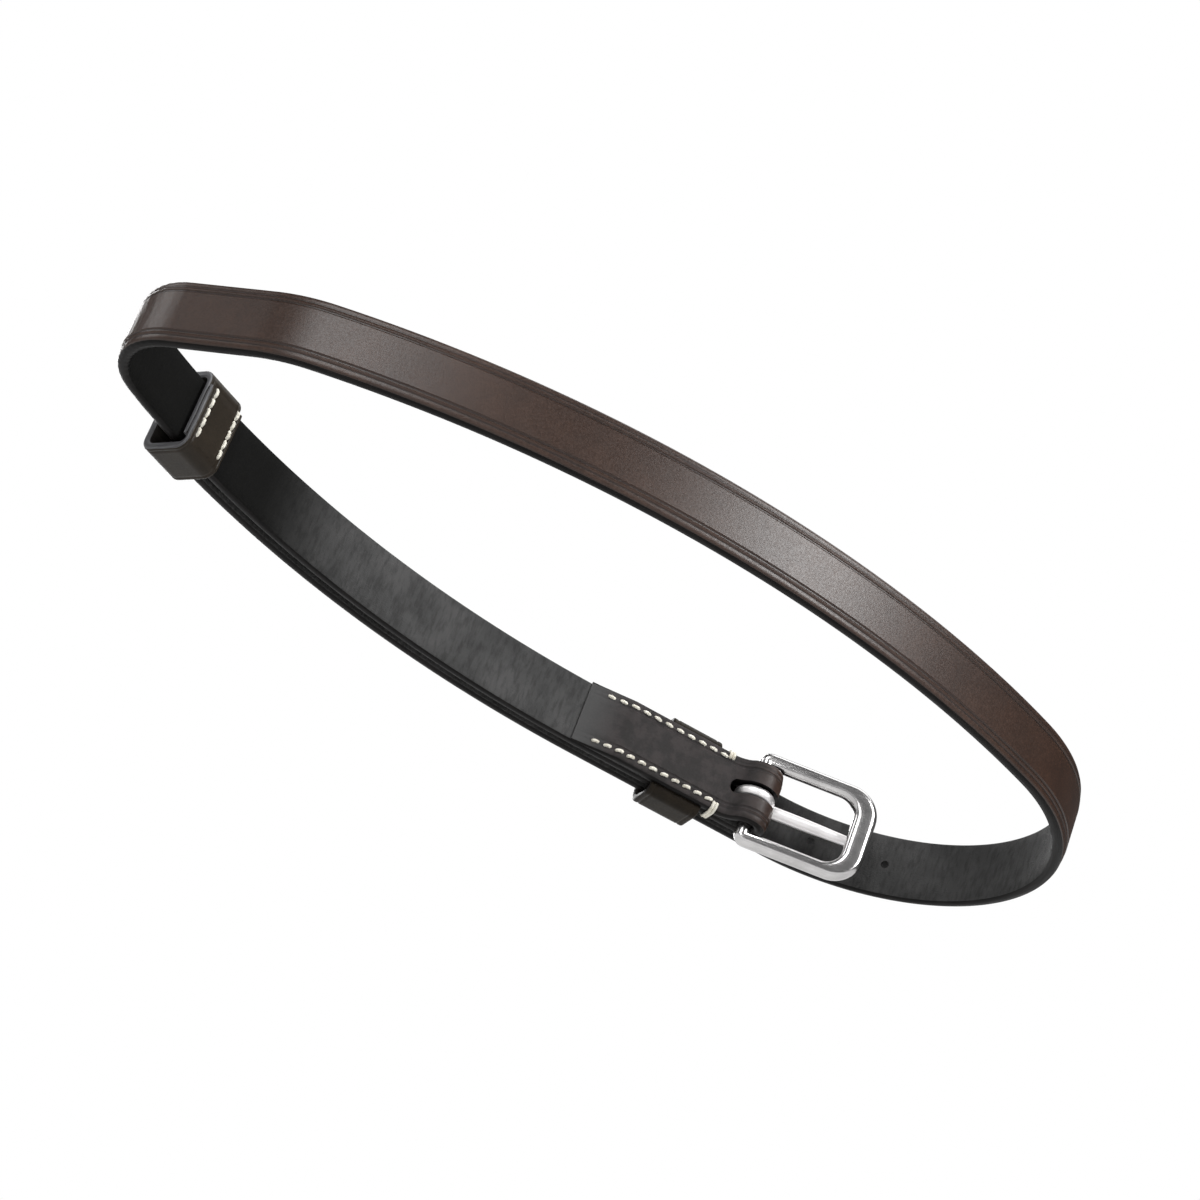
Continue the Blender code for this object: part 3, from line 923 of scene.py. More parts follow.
def boolean(piece: bpy.types.Object, other: bpy.types.Object, operation: str) -> bpy.types.Object:
    """Cuts another solid out of a piece, or joins it on.

    Args:
        piece: The piece. It is removed.
        other: The other solid. It is removed too.
        operation: "DIFFERENCE" or "UNION".

    Returns:
        The new plain piece.
    """
    change = piece.modifiers.new(operation.lower(), "BOOLEAN")
    change.operation = operation
    change.solver = "MANIFOLD"
    change.object = other
    return plain(piece, piece.name, [other])


def dressed_all_over(piece: bpy.types.Object, material: bpy.types.Material) -> None:
    """Gives a piece one material."""
    piece.data.materials.clear()
    piece.data.materials.append(material)


def finished(piece: bpy.types.Object, body: Body, node: str) -> None:
    """Puts a piece on its body in place of a CAD node, and reports it.

    Args:
        piece: The piece.
        body: What it moves with.
        node: The CAD node that it stands for.
    """
    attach(piece, body.value)
    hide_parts(node)
    log.info("%s: %d faces, on %s", piece.name, len(piece.data.polygons), body.value)


# Strips of leather


@dataclass(frozen=True)
class Crease:
    """A line pressed into the grain side along both borders."""

    from_edge: float
    depth: float
    half_width: float
    points: tuple[float, ...] = (-1, -0.6, 0, 0.6, 1)


@dataclass(frozen=True)
class StripSection:
    """The cross-section of a strip, with round edges, borders and creases."""

    width: float
    thickness: float
    edge_round: float
    border: float = 0.0
    border_drop: float = 0.0
    creases: tuple[Crease, ...] = ()
    grain_steps: int = 4
    flesh_steps: int = 6
    edge_steps: int = 6

    def grain_depth(self, across: float) -> float:
        """Works out the depth of the grain side's surface, which grows to the flesh side.

        Args:
            across: The place across the strip.

        Returns:
            The depth from the middle of the thickness.
        """
        from_edge = self.width / 2 - abs(across)
        depth = -self.thickness / 2
        if self.border:
            depth += self.border_drop * min(max(1 - from_edge / self.border, 0), 1)
        for crease in self.creases:
            off = (from_edge - crease.from_edge) / crease.half_width
            depth += crease.depth * max(1 - off**2, 0)
        return depth

    def points(self) -> Outline:
        """Draws the section.

        Returns:
            The closed outline as (depth, across): grain side, edge, flesh side, edge.
        """
        start = self.width / 2 - self.edge_round
        places = {start * i / self.grain_steps for i in range(-self.grain_steps, self.grain_steps + 1)}
        if self.border:
            places |= {side * (self.width / 2 - self.border) for side in (-1, 1)}
        for crease in self.creases:
            for share in crease.points:
                middle = self.width / 2 - crease.from_edge + share * crease.half_width
                places |= {middle, -middle}
        grain = [(self.grain_depth(a), a) for a in sorted(places) if abs(a) <= start]
        high, low = self.thickness / 2, self.grain_depth(start)
        edge = []
        for i in range(1, self.edge_steps):
            angle = math.pi * i / self.edge_steps
            swell = self.edge_round * math.sin(angle)
            edge.append(((high + low) / 2 - (high - low) / 2 * math.cos(angle), start + swell))
        flesh = [(high, start * (1 - 2 * i / self.flesh_steps)) for i in range(self.flesh_steps + 1)]
        return grain + edge + flesh + [(depth, -across) for depth, across in reversed(edge)]


def strip_tree() -> bpy.types.NodeTree:
    """Makes the Geometry Nodes tree that sweeps a section along a straight strip.

    Returns:
        The tree.
    """
    inputs = {"Length": "Float", "Rings": "Int", "Section": "Object", "Leather": "Material"}
    graph, given = start_tree("leather_strip", "Strip", inputs)
    far = graph.out("ShaderNodeCombineXYZ", {0: given["Length"]})
    line = graph.out("GeometryNodeCurvePrimitiveLine", {"End": far})
    rings = graph.out("GeometryNodeResampleCurve", {"Curve": line, "Count": given["Rings"]})
    upright = graph.out("GeometryNodeSetCurveNormal", {"Curve": rings}, mode="Z_UP")
    return end_tree(graph, swept(graph, upright, given["Section"]), given["Leather"])


@dataclass
class LeatherStrip:
    """A strip of leather that is swept and cut flat, and then bent along its route.

    A face is on the grain or the flesh side where its normal points that way by more than the
    side's facing. On the flesh side it is also deeper than flesh_depth of the thickness.
    """

    name: str
    route: Route
    section: StripSection
    rings: np.ndarray
    finishes: Dressing
    place: Matrix = field(default_factory=Matrix)
    cutouts: list[Outline] = field(default_factory=list)
    shape: Callable[[np.ndarray], np.ndarray] | None = None
    flesh_facing: float = 0.8
    flesh_depth: float = 0.3
    grain_facing: float = 0.55
    sharp_over: float = 38

    def build(self, tree: bpy.types.NodeTree) -> bpy.types.Object:
        """Builds the strip.

        Args:
            tree: The tree that sweeps it.

        Returns:
            The bent strip, with a material for each side.
        """
        piece = self._swept(tree)
        if self.cutouts:
            piece = boolean(piece, self._cutter(), "DIFFERENCE")
        mesh = piece.data
        merged_and_outward(mesh)
        self._dress(mesh)
        flat = read_points(mesh)
        marks = mesh.attributes.new(FLAT_PLACE, "FLOAT_VECTOR", "POINT")
        marks.data.foreach_set("vector", flat.ravel())
        shaped = self.shape(flat) if self.shape else flat
        points, headings = self.route.at(shaped[:, 0])
        right = np.stack([np.sin(headings), -np.cos(headings)], 1)
        plane = points + shaped[:, 1:2] * right
        mesh.vertices.foreach_set("co", np.column_stack([plane, shaped[:, 2]]).ravel())
        mesh.transform(self.place)
        mesh.update()
        self._turn_out(mesh)
        smoothed(piece, self.sharp_over)
        return piece

    def _swept(self, tree: bpy.types.NodeTree) -> bpy.types.Object:
        """Sweeps the flat strip: x along it, y its depth and z across it.

        Args:
            tree: The tree that sweeps it.

        Returns:
            The strip, with its rings at their places.
        """
        outline = poly_curve("section", self.section.points(), cyclic=True)
        source = linked(self.name, bpy.data.meshes.new(self.name))
        count = len(self.rings)
        inputs = {"Length": float(count - 1), "Rings": count, "Section": outline}
        run_tree(tree, source, inputs | {"Leather": self.finishes[Side.GRAIN]})
        piece = plain(source, self.name, [outline])
        points = read_points(piece.data)
        points[:, 0] = self.rings[np.rint(points[:, 0]).astype(int)]
        # The sweep lays the section's axes the other way round
        points[:, 1:] *= -1
        piece.data.vertices.foreach_set("co", points.ravel())
        merged_and_outward(piece.data)
        return piece

    def _cutter(self) -> bpy.types.Object:
        """Makes one solid for all the cut-outs, each an outline of (along, across).

        Returns:
            The solid.
        """
        shape = bmesh.new()
        reach = self.section.thickness
        for outline in self.cutouts:
            rings = [[shape.verts.new((x, y, z)) for x, z in outline] for y in (-reach, reach)]
            shape.faces.new(rings[0])
            shape.faces.new(rings[1][::-1])
            for i in range(len(outline)):
                j = (i + 1) % len(outline)
                shape.faces.new((rings[0][i], rings[1][i], rings[1][j], rings[0][j]))
        bmesh.ops.recalc_face_normals(shape, faces=shape.faces)
        mesh = bpy.data.meshes.new("cutter")
        shape.to_mesh(mesh)
        shape.free()
        return linked("cutter", mesh)

    def _dress(self, mesh: bpy.types.Mesh) -> None:
        """Gives each face its side's material, while the strip is flat.

        Args:
            mesh: The flat strip.
        """
        mesh.materials.clear()
        for side in Side:
            mesh.materials.append(self.finishes[side])
        normals, centres = np.zeros(len(mesh.polygons) * 3), np.zeros(len(mesh.polygons) * 3)
        mesh.polygons.foreach_get("normal", normals)
        mesh.polygons.foreach_get("center", centres)
        turn, depth = normals[1::3], centres[1::3]
        sides = np.full(len(turn), Side.EDGE.value)
        flesh = (turn > self.flesh_facing) & (depth > self.flesh_depth * self.section.thickness)
        sides[flesh] = Side.FLESH.value
        sides[(turn < -self.grain_facing) & (depth < 0)] = Side.GRAIN.value
        mesh.polygons.foreach_set("material_index", sides.astype(np.int32))

    @staticmethod
    def _turn_out(mesh: bpy.types.Mesh) -> None:
        """Turns all faces over if the bent strip is inside out.

        Args:
            mesh: The bent strip.
        """
        shape = bmesh.new()
        shape.from_mesh(mesh)
        inside_out = shape.calc_volume(signed=True) < 0
        shape.free()
        if inside_out:
            mesh.flip_normals()


def ring_places(marks: Sequence[tuple[float, float]]) -> np.ndarray:
    """Works out the places of a strip's rings.

    Args:
        marks: Where each stretch ends, and its spacing. The first one starts at 0.

    Returns:
        The places.
    """
    places = [0.0]
    for end, spacing in marks:
        count = max(round((end - places[-1]) / spacing), 1)
        places += list(np.linspace(places[-1], end, count + 1)[1:])
    return np.array(places)


# The strap


@dataclass
class Strap:
    """The one piece of strap leather, from the billet's tip to the turn-back's end."""

    loop: LoopShape
    hole_radius: float = 0.0009
    hole_taper: float = 0.88
    hole_slant: float = 0.00045
    hole_rim: float = 1.05
    hole_pitch: float = 0.0155
    hole_count: int = 9
    hole_steps: int = 7
    first_hole_from_bar: float = 0.031
    slot_width: float = 0.0029
    slot_reach: float = 0.0054
    point_length: float = 0.011
    nose_radius: float = 0.002
    skive_length: float = 0.009
    skive_drop: float = 0.0023
    ridge_pitch: float = 0.0016
    ridge_height: float = 0.00006
    ridge_reach: float = 1.25
    ridge_wander: float = 0.0007
    wander_across: float = 0.0021
    wander_along: float = 0.004
    first_ring: float = 0.00003
    nose_rings: tuple[tuple[float, float], ...] = ((0.0004, 0.0001), (0.004, 0.0003))
    run_spacing: float = 0.0008
    cheek_spacing: float = 0.0004
    cheek_margin: float = 0.002
    fold_spacing: float = 0.0003
    fold_from_bar: float = -0.001
    fold_to_bar: float = 0.015
    turnback_spacing: float = 0.0007
    section: StripSection = StripSection(
        width=0.013,
        thickness=0.0025,
        edge_round=0.0006,
        border=0.0024,
        border_drop=0.00042,
        creases=(Crease(0.0023, 0.00020, 0.00034), Crease(0.0014, 0.00007, 0.00022)),
    )

    @property
    def route(self) -> Route:
        """The strap's route in the loop."""
        return self.loop.strap_route()

    def hole_places(self) -> list[float]:
        """How far along the strap each hole is."""
        first = self.loop.tail_length + self.loop.chape_length + self.first_hole_from_bar
        return [first - i * self.hole_pitch for i in range(self.hole_count)]

    def cutouts(self) -> list[Outline]:
        """Draws the billet's holes and the prong's slot on the flat strap.

        Returns:
            Their outlines as (along, across).
        """
        radius, half = self.hole_radius, self.slot_width / 2
        holes = [round_ended(at - radius, at + radius, radius, self.hole_steps) for at in self.hole_places()]
        bar = self.route.marks[Mark.BAR]
        fold = sum(length for length, _ in self.loop.fold_legs()[:2])
        end = bar + fold + self.slot_reach - self.loop.fold_run()
        return holes + [round_ended(bar - self.slot_reach, end, half, self.hole_steps)]

    def shape(self, flat: np.ndarray) -> np.ndarray:
        """Slants the holes, points the tip, skives the turn-back's end and ridges the cheek bend.

        Args:
            flat: The flat strap's points as (along, depth, across).

        Returns:
            The points, moved.
        """
        self._slant_holes(flat)
        self._point_tip(flat)
        self._skive_end(flat)
        self._ridge_bend(flat)
        return flat

    def _slant_holes(self, flat: np.ndarray) -> None:
        """Narrows each hole on the flesh side and shifts it on the grain side.

        Args:
            flat: The points. They are moved.
        """
        for place in self.hole_places():
            rim = np.hypot(flat[:, 0] - place, flat[:, 2]) < self.hole_rim * self.hole_radius
            grain, flesh = rim & (flat[:, 1] < 0), rim & (flat[:, 1] > 0)
            flat[flesh, 0] = place + self.hole_taper * (flat[flesh, 0] - place)
            flat[flesh, 2] *= self.hole_taper
            flat[grain, 2] -= self.hole_slant

    def _point_tip(self, flat: np.ndarray) -> None:
        """Narrows the billet's end to its point with a round nose.

        Args:
            flat: The points. They are moved.
        """
        along, half, radius = flat[:, 0], self.section.width / 2, self.nose_radius
        slope = (half - radius) / self.point_length
        nose = np.clip(along, 0, radius)
        round_nose = np.sqrt(np.maximum(nose * (2 * radius - nose), 0))
        limit = np.where(along < radius, round_nose, radius + slope * (along - radius))
        flat[:, 2] *= np.minimum(limit / half, 1)

    def _skive_end(self, flat: np.ndarray) -> None:
        """Thins the turn-back's end from its grain side.

        Args:
            flat: The points. They are moved.
        """
        into = np.clip((flat[:, 0] - self.route.length + self.skive_length) / self.skive_length, 0, 1)
        depth = 1 - flat[:, 1] / (self.section.thickness / 2)
        flat[:, 1] += into * self.skive_drop * depth / 2

    def _ridge_bend(self, flat: np.ndarray) -> None:
        """Raises small ridges across the cheek bend, most on its flesh side.

        Args:
            flat: The points. They are moved.
        """
        start, end = self.route.marks[Mark.CHEEK_START], self.route.marks[Mark.CHEEK_END]
        along, middle, reach = flat[:, 0], (start + end) / 2, (end - start) / 2
        near = np.clip(self.ridge_reach - np.abs(along - middle) / reach, 0, 1)
        wander = self.ridge_wander * np.sin(flat[:, 2] / self.wander_across + along / self.wander_along)
        wave = np.sin(2 * math.pi * (along + wander) / self.ridge_pitch)
        flat[:, 1] += near * self.ridge_height * wave * (1 + flat[:, 1] / self.section.thickness)

    def build(self, tree: bpy.types.NodeTree, finishes: Dressing) -> None:
        """Builds the strap in the CAD strap's place.

        Args:
            tree: The tree that sweeps it.
            finishes: Its materials.
        """
        route = self.route
        rings = ring_places([
            *self.nose_rings,
            (route.marks[Mark.CHEEK_START] - self.cheek_margin, self.run_spacing),
            (route.marks[Mark.CHEEK_END] + self.cheek_margin, self.cheek_spacing),
            (route.marks[Mark.BAR] + self.fold_from_bar, self.run_spacing),
            (route.marks[Mark.BAR] + self.fold_to_bar, self.fold_spacing),
            (route.length, self.turnback_spacing),
        ])
        rings[0] = self.first_ring
        strip = LeatherStrip(
            "strap_leather", route, self.section, rings, finishes, cutouts=self.cutouts(), shape=self.shape
        )
        finished(strip.build(tree), Body.STRAP, "strap")


# The keepers


@dataclass
class Keeper(ABC):
    """A loop of leather round the strap, thinned at both ends up to the first corner."""

    PIECE: ClassVar[str]
    NODE: ClassVar[str]
    BODY: ClassVar[Body]

    loop: LoopShape
    section: StripSection
    side_gap: float
    outer_gap: float
    inner_corner: float
    outer_corner: float
    end_across: float
    ring_spacing: float = 0.0003
    tip_length: float = 0.0012
    tip_share: float = 1.0

    @abstractmethod
    def end_lines(self) -> tuple[float, float]:
        """How far outwards the first and the last end lie."""

    @abstractmethod
    def strap_face(self) -> float:
        """How far outwards the strap's outer face lies."""

    @abstractmethod
    def end_share(self) -> float:
        """The share of the full thickness that the ends have."""

    @abstractmethod
    def place(self) -> Matrix:
        """Where the loop goes."""

    def legs(self) -> list[Leg]:
        """Works out the loop's legs, from one end to the other.

        Returns:
            The legs: an end, a side, the outer wall, a side and an end, with corners between.
        """
        wall = self.section.thickness / 2
        side_line = self.loop.width / 2 + self.side_gap + wall
        rise = self.strap_face() + self.outer_gap + wall - self.inner_corner - self.outer_corner
        inner, outer = (bend(radius, -math.pi / 2) for radius in (self.inner_corner, self.outer_corner))
        end = (side_line - self.inner_corner - self.end_across, 0)
        first, last = ((rise - line, 0) for line in self.end_lines())
        across = (2 * (side_line - self.outer_corner), 0)
        return [end, inner, first, outer, across, outer, last, inner, end]

    def shape(self, flat: np.ndarray) -> np.ndarray:
        """Thins both ends, and their tips a little more.

        Args:
            flat: The flat strip's points as (along, depth, across).

        Returns:
            The points, moved.
        """
        lengths = [length for length, _ in self.legs()]
        end, corner, *_ = lengths
        from_end = np.minimum(flat[:, 0], sum(lengths) - flat[:, 0])
        full = np.clip((from_end - end) / corner, 0, 1)
        tip = np.clip(from_end / self.tip_length, 0, 1)
        thin = self.end_share()
        flat[:, 1] *= (thin + (1 - thin) * full) * (self.tip_share + (1 - self.tip_share) * tip)
        return flat

    def build(self, tree: bpy.types.NodeTree, finishes: Dressing) -> None:
        """Builds the keeper in its CAD node's place.

        Args:
            tree: The tree that sweeps it.
            finishes: Its materials.
        """
        first_line, _ = self.end_lines()
        route = Route((first_line, self.end_across), math.pi / 2, self.legs())
        rings = ring_places([(route.length, self.ring_spacing)])
        strip = LeatherStrip(self.PIECE, route, self.section, rings, finishes, self.place(), shape=self.shape)
        finished(strip.build(tree), self.BODY, self.NODE)


@dataclass
class FixedKeeper(Keeper):
    """The keeper that is sewn into the chape and goes round the billet."""

    PIECE: ClassVar[str] = "fixed_keeper_loop"
    NODE: ClassVar[str] = "fixed_keeper"
    BODY: ClassVar[Body] = Body.STRAP

    section: StripSection = StripSection(
        width=0.011,
        thickness=0.0014,
        edge_round=0.0004,
        creases=(Crease(0.0012, 0.00012, 0.00028),),
    )
    side_gap: float = 0.0006
    outer_gap: float = 0.0010
    inner_corner: float = 0.0015
    outer_corner: float = 0.0023
    end_across: float = 0.0034
    from_bar: float = 0.0090
    tab_line: float = 0.00125
    tab_share: float = 0.45

    def end_lines(self) -> tuple[float, float]:
        """How far from the heel bar's axis the two tabs lie."""
        return self.tab_line, self.tab_line

    def strap_face(self) -> float:
        """How far from the heel bar's axis the billet's outer face lies."""
        return self.loop.fold_radius + self.loop.layer_step + self.loop.thickness / 2

    def end_share(self) -> float:
        """The share of the full thickness that goes between the chape's layers."""
        return self.tab_share

    def place(self) -> Matrix:
        """Where the loop goes, in the chape."""
        middle = Matrix.Translation((-self.from_bar - self.section.width / 2, 0, 0))
        return outward_and_wide(self.loop.chape_matrix() @ middle)


@dataclass
class SlidingKeeper(Keeper):
    """The keeper that slides on the back run, its ends lapped and sewn on the inner side."""

    PIECE: ClassVar[str] = "sliding_keeper_loop"
    NODE: ClassVar[str] = "sliding_keeper"
    BODY: ClassVar[Body] = Body.SLIDING_KEEPER

    section: StripSection = StripSection(
        width=0.0095,
        thickness=0.0016,
        edge_round=0.00045,
        creases=(Crease(0.0009, 0.00010, 0.00025),),
    )
    side_gap: float = 0.0005
    outer_gap: float = 0.0005
    inner_corner: float = 0.0018
    outer_corner: float = 0.0018
    end_across: float = -0.0052
    tip_share: float = 0.7
    inner_gap: float = 0.0005
    joint_wall: float = 0.0022

    def inner_face(self) -> float:
        """How far the joint's inner face is from the back arc's centre."""
        return self.loop.back_radius - self.loop.thickness / 2 - self.inner_gap - self.joint_wall

    def end_lines(self) -> tuple[float, float]:
        """How far from the back arc's centre the lower and the upper lapped end lie."""
        return self.inner_face() + self.joint_wall * 3 / 4, self.inner_face() + self.joint_wall / 4

    def strap_face(self) -> float:
        """How far from the back arc's centre the billet's outer face lies."""
        return self.loop.back_radius + self.loop.layer_step + self.loop.thickness / 2

    def end_share(self) -> float:
        """The share of the full thickness that each lapped end has."""
        return self.joint_wall / 2 / self.section.thickness

    def place(self) -> Matrix:
        """Where the loop goes, round the back run."""
        return outward_and_wide(self.loop.sliding_keeper_matrix())


# The buckle


@dataclass
class Buckle:
    """The heel-bar buckle: its frame, and the prong round its bar."""

    loop: LoopShape
    steel: bpy.types.Material
    prong_steel: bpy.types.Material
    bar_radius: float = 0.0015
    eye_radius: float = 0.0028
    side_clearance: float = 0.0006
    side_bar_width: float = 0.0031
    end_bar_width: float = 0.0045
    length: float = 0.0235
    thickness: float = 0.0028
    edge_round: float = 0.0013
    edge_steps: int = 4
    outer_corner: float = 0.0062
    inner_corner: float = 0.0035
    heel_corner: float = 0.0024
    corner_steps: int = 12
    bar_steps: int = 8
    bar_in_side: float = 1 / 3
    frame_sharp_over: float = 40
    prong_radius: float = 0.00125
    prong_eye_turn: float = math.radians(265)
    prong_neck: float = 0.25
    prong_tip_inset: float = 0.0008
    prong_tip_radius: float = 0.0009
    prong_taper_length: float = 0.012
    prong_tip_length: float = 0.004
    prong_rings: tuple[int, int, int] = (40, 10, 9)
    prong_roundness: int = 6
    prong_end_round: float = 0.0007
    prong_end_steps: int = 5
    prong_sharp_over: float = 50
    seat_gap: float = 0.0003

    def build_frame(self) -> None:
        """Builds the frame and its heel bar."""
        opening = self.loop.width / 2 + self.side_clearance
        height = opening + self.side_bar_width
        heel, outer, inner = self.heel_corner, self.outer_corner, self.inner_corner
        low, high, end = -self.bar_radius, self.length, self.length - self.end_bar_width
        steps = self.corner_steps
        outline = rounded_outline((low, -height), (high, height), [heel, outer, outer, heel], steps)
        inside = rounded_outline((low, -opening), (end, opening), [0, inner, inner, 0], steps)
        place = self.loop.buckle_matrix()
        made = plate(
            "buckle_frame_steel", outline + inside[::-1], self.thickness / 2, self.edge_round,
            self.edge_steps, place @ Matrix.Rotation(math.pi / 2, 4, "X"),
        )
        reach = opening + self.side_bar_width * self.bar_in_side
        round_bar = round_ended(low, self.bar_radius, self.bar_radius, self.bar_steps)
        made = boolean(made, plate("bar", round_bar, reach, 0, 0, place), "UNION")
        merged_and_outward(made.data)
        dressed_all_over(made, self.steel)
        smoothed(made, self.frame_sharp_over)
        finished(made, Body.BUCKLE, "buckle_frame")

    def build_prong(self) -> None:
        """Builds the prong: a wire eye round the bar, a blade, and a blunt tip on the end bar."""
        radius, turn = self.eye_radius, self.prong_eye_turn
        start = (-radius * math.sin(turn), radius * math.cos(turn))
        tip = (self.length - self.prong_tip_inset, self.thickness / 2 + self.seat_gap + self.prong_tip_radius)
        slope = math.atan2(tip[1] - radius, tip[0])
        blade = math.hypot(tip[0], tip[1] - radius)
        route = Route(start, turn, [bend(radius, -turn), bend(radius * self.prong_neck, slope), (blade, 0)])
        _, eye, *_ = route.marks
        near_tip = route.length - self.prong_tip_length
        in_eye, on_blade, at_tip = self.prong_rings
        steps = np.concatenate([
            np.linspace(0, eye, in_eye),
            np.linspace(eye, near_tip, on_blade)[1:],
            np.linspace(near_tip, route.length, at_tip)[1:],
        ])
        thin = self.prong_tip_radius / self.prong_radius
        shares = np.interp(route.length - steps, [0, self.prong_taper_length], [thin, 1])
        curve = poly_curve("prong", [(x, y, 0) for x, y in route.at(steps)[0]])
        curve.data.bevel_depth = self.prong_radius
        curve.data.bevel_resolution = self.prong_roundness
        curve.data.use_fill_caps = True
        for target, share in zip(curve.data.splines[0].points, shares):
            target.radius = share
        curve.matrix_world = self.loop.buckle_matrix()
        prong = plain(curve, "buckle_prong_steel")
        merged_and_outward(prong.data)
        self._round_ends(prong)
        dressed_all_over(prong, self.prong_steel)
        smoothed(prong, self.prong_sharp_over)
        finished(prong, Body.PRONG, "buckle_prong")

    def _round_ends(self, prong: bpy.types.Object) -> None:
        """Bevels the wire's two flat ends, its only faces with more than four corners.

        Args:
            prong: The prong.
        """
        shape = bmesh.new()
        shape.from_mesh(prong.data)
        caps = [face for face in shape.faces if len(face.verts) > 4]
        edges = list({edge for face in caps for edge in face.edges})
        bmesh.ops.bevel(
            shape, geom=edges, offset=self.prong_end_round, offset_type="OFFSET",
            segments=self.prong_end_steps, profile=0.5, affect="EDGES",
        )
        shape.to_mesh(prong.data)
        shape.free()


# The stitching


def thread_tree() -> bpy.types.NodeTree:
    """Makes the Geometry Nodes tree that lays twisted thread along a curve.

    Returns:
        The tree.
    """
    inputs = {
        "Path": "Geometry", "Step": "Float", "Twist rate": "Float", "Ply section": "Object",
        "Linen": "Material",
    }
    graph, given = start_tree("twisted_thread", "Thread", inputs)
    even_inputs = {"Curve": given["Path"], "Length": given["Step"]}
    even = graph.out("GeometryNodeResampleCurve", even_inputs, mode="LENGTH")
    way = graph.add("GeometryNodeSplineParameter").outputs["Length"]
    tilt = graph.maths("MULTIPLY", way, given["Twist rate"])
    tilted = graph.out("GeometryNodeSetCurveTilt", {"Curve": even, "Tilt": tilt})
    return end_tree(graph, swept(graph, tilted, given["Ply section"]), given["Linen"])


def stitch_row_tree() -> bpy.types.NodeTree:
    """Makes the Geometry Nodes tree that sets a stitch at each place of a row.

    Returns:
        The tree.
    """
    inputs = {
        "Row": "Geometry", "Stitch count": "Int", "Stitch": "Object", "Face direction": "Vector",
        "Slant": "Float", "Unevenness": "Float", "Seed": "Int", "Linen": "Material",
    }
    graph, given = start_tree("stitch_row", "Stitches", inputs)
    places = graph.out("GeometryNodeResampleCurve", {"Curve": given["Row"], "Count": given["Stitch count"]})
    tangent = graph.out("GeometryNodeInputTangent")
    along = graph.out("FunctionNodeAlignRotationToVector", {"Vector": tangent}, axis="X")
    seated_inputs = {"Rotation": along, "Vector": given["Face direction"]}
    seated = graph.out("FunctionNodeAlignRotationToVector", seated_inputs, axis="Z", pivot_axis="X")
    least = graph.maths("MULTIPLY", given["Unevenness"], -1)
    wobble_inputs = {RANDOM_LOW: least, RANDOM_HIGH: given["Unevenness"], "Seed": given["Seed"]}
    wobble = graph.add("FunctionNodeRandomValue", wobble_inputs, data_type="FLOAT").outputs[RANDOM_RESULT]
    lean = graph.out("ShaderNodeCombineXYZ", {2: graph.maths("ADD", given["Slant"], wobble)})
    turned_inputs = {"Rotation": seated, "Rotate By": graph.out("FunctionNodeEulerToRotation", {0: lean})}
    turned = graph.out("FunctionNodeRotateRotation", turned_inputs, rotation_space="LOCAL")
    stitch_inputs = {"Object": given["Stitch"], "As Instance": True}
    stitch = graph.add("GeometryNodeObjectInfo", stitch_inputs).outputs["Geometry"]
    row_inputs = {"Points": places, "Instance": stitch, "Rotation": turned}
    return end_tree(graph, graph.out("GeometryNodeInstanceOnPoints", row_inputs), given["Linen"])


@dataclass
class Stitching:
    """Makes rows of stitches in waxed linen thread."""

    linen: bpy.types.Material
    thread_tree: bpy.types.NodeTree
    row_tree: bpy.types.NodeTree
    thread_radius: float = 0.00034
    section_points: int = 12
    waist: float = 0.87
    twist_rate: float = 5200.0
    step: float = 0.00014
    stitch_steps: int = 12
    rise: float = 0.55
    dip: float = 0.00042
    dip_power: int = 4
    slant: float = math.radians(7)
    unevenness: float = math.radians(2.5)
    sharp_over: float = 60

    def ply_section(self) -> bpy.types.Object:
        """Draws the thread's two-ply section.

        Returns:
            The section as a closed curve.
        """
        points = []
        for i in range(self.section_points):
            angle = 2 * math.pi * i / self.section_points
            radius = self.thread_radius * (self.waist + (1 - self.waist) * abs(math.cos(angle)))
            points.append((radius * math.cos(angle), radius * math.sin(angle), 0))
        return poly_curve("ply_section", points, cyclic=True)

    def thread(self, name: str, points: Sequence[Vector]) -> bpy.types.Object:
        """Lays twisted thread.

        Args:
            name: The object's name.
            points: The points that it goes through.

        Returns:
            The thread as a plain mesh.
        """
        path = poly_curve(name, points)
        section = self.ply_section()
        inputs = {"Step": self.step, "Twist rate": self.twist_rate, "Ply section": section}
        run_tree(self.thread_tree, path, inputs | {"Linen": self.linen})
        made = plain(path, name, [section])
        merged_and_outward(made.data)
        return made

    def stitch(self, length: float) -> bpy.types.Object:
        """Makes one stitch along x, its ends sunk below the face at z = 0.

        Args:
            length: Its length.

        Returns:
            The stitch as a plain mesh.
        """
        top = self.thread_radius * self.rise
        points = []
        for i in range(self.stitch_steps + 1):
            share = 2 * i / self.stitch_steps - 1
            points.append(Vector((share * length / 2, 0, top - (self.dip + top) * share**self.dip_power)))
        return self.thread("stitch", points)

    def row(
        self, name: str, points: Sequence[Vector], face: Vector, length: float, slant: float, seed: int
    ) -> bpy.types.Object:
        """Sets stitches along a row.

        Args:
            name: The row's name.
            points: The stitches' middles on the leather.
            face: The direction that the leather faces.
            length: One stitch's length.
            slant: How far each stitch leans from the row.
            seed: The seed of the stitches' small differences.

        Returns:
            The stitches as one plain mesh.
        """
        line = poly_curve(name, points)
        stitch = self.stitch(length)
        inputs = {
            "Stitch count": len(points), "Stitch": stitch, "Face direction": face, "Slant": slant,
            "Unevenness": self.unevenness, "Seed": seed, "Linen": self.linen,
        }
        run_tree(self.row_tree, line, inputs)
        return plain(line, name, [stitch])


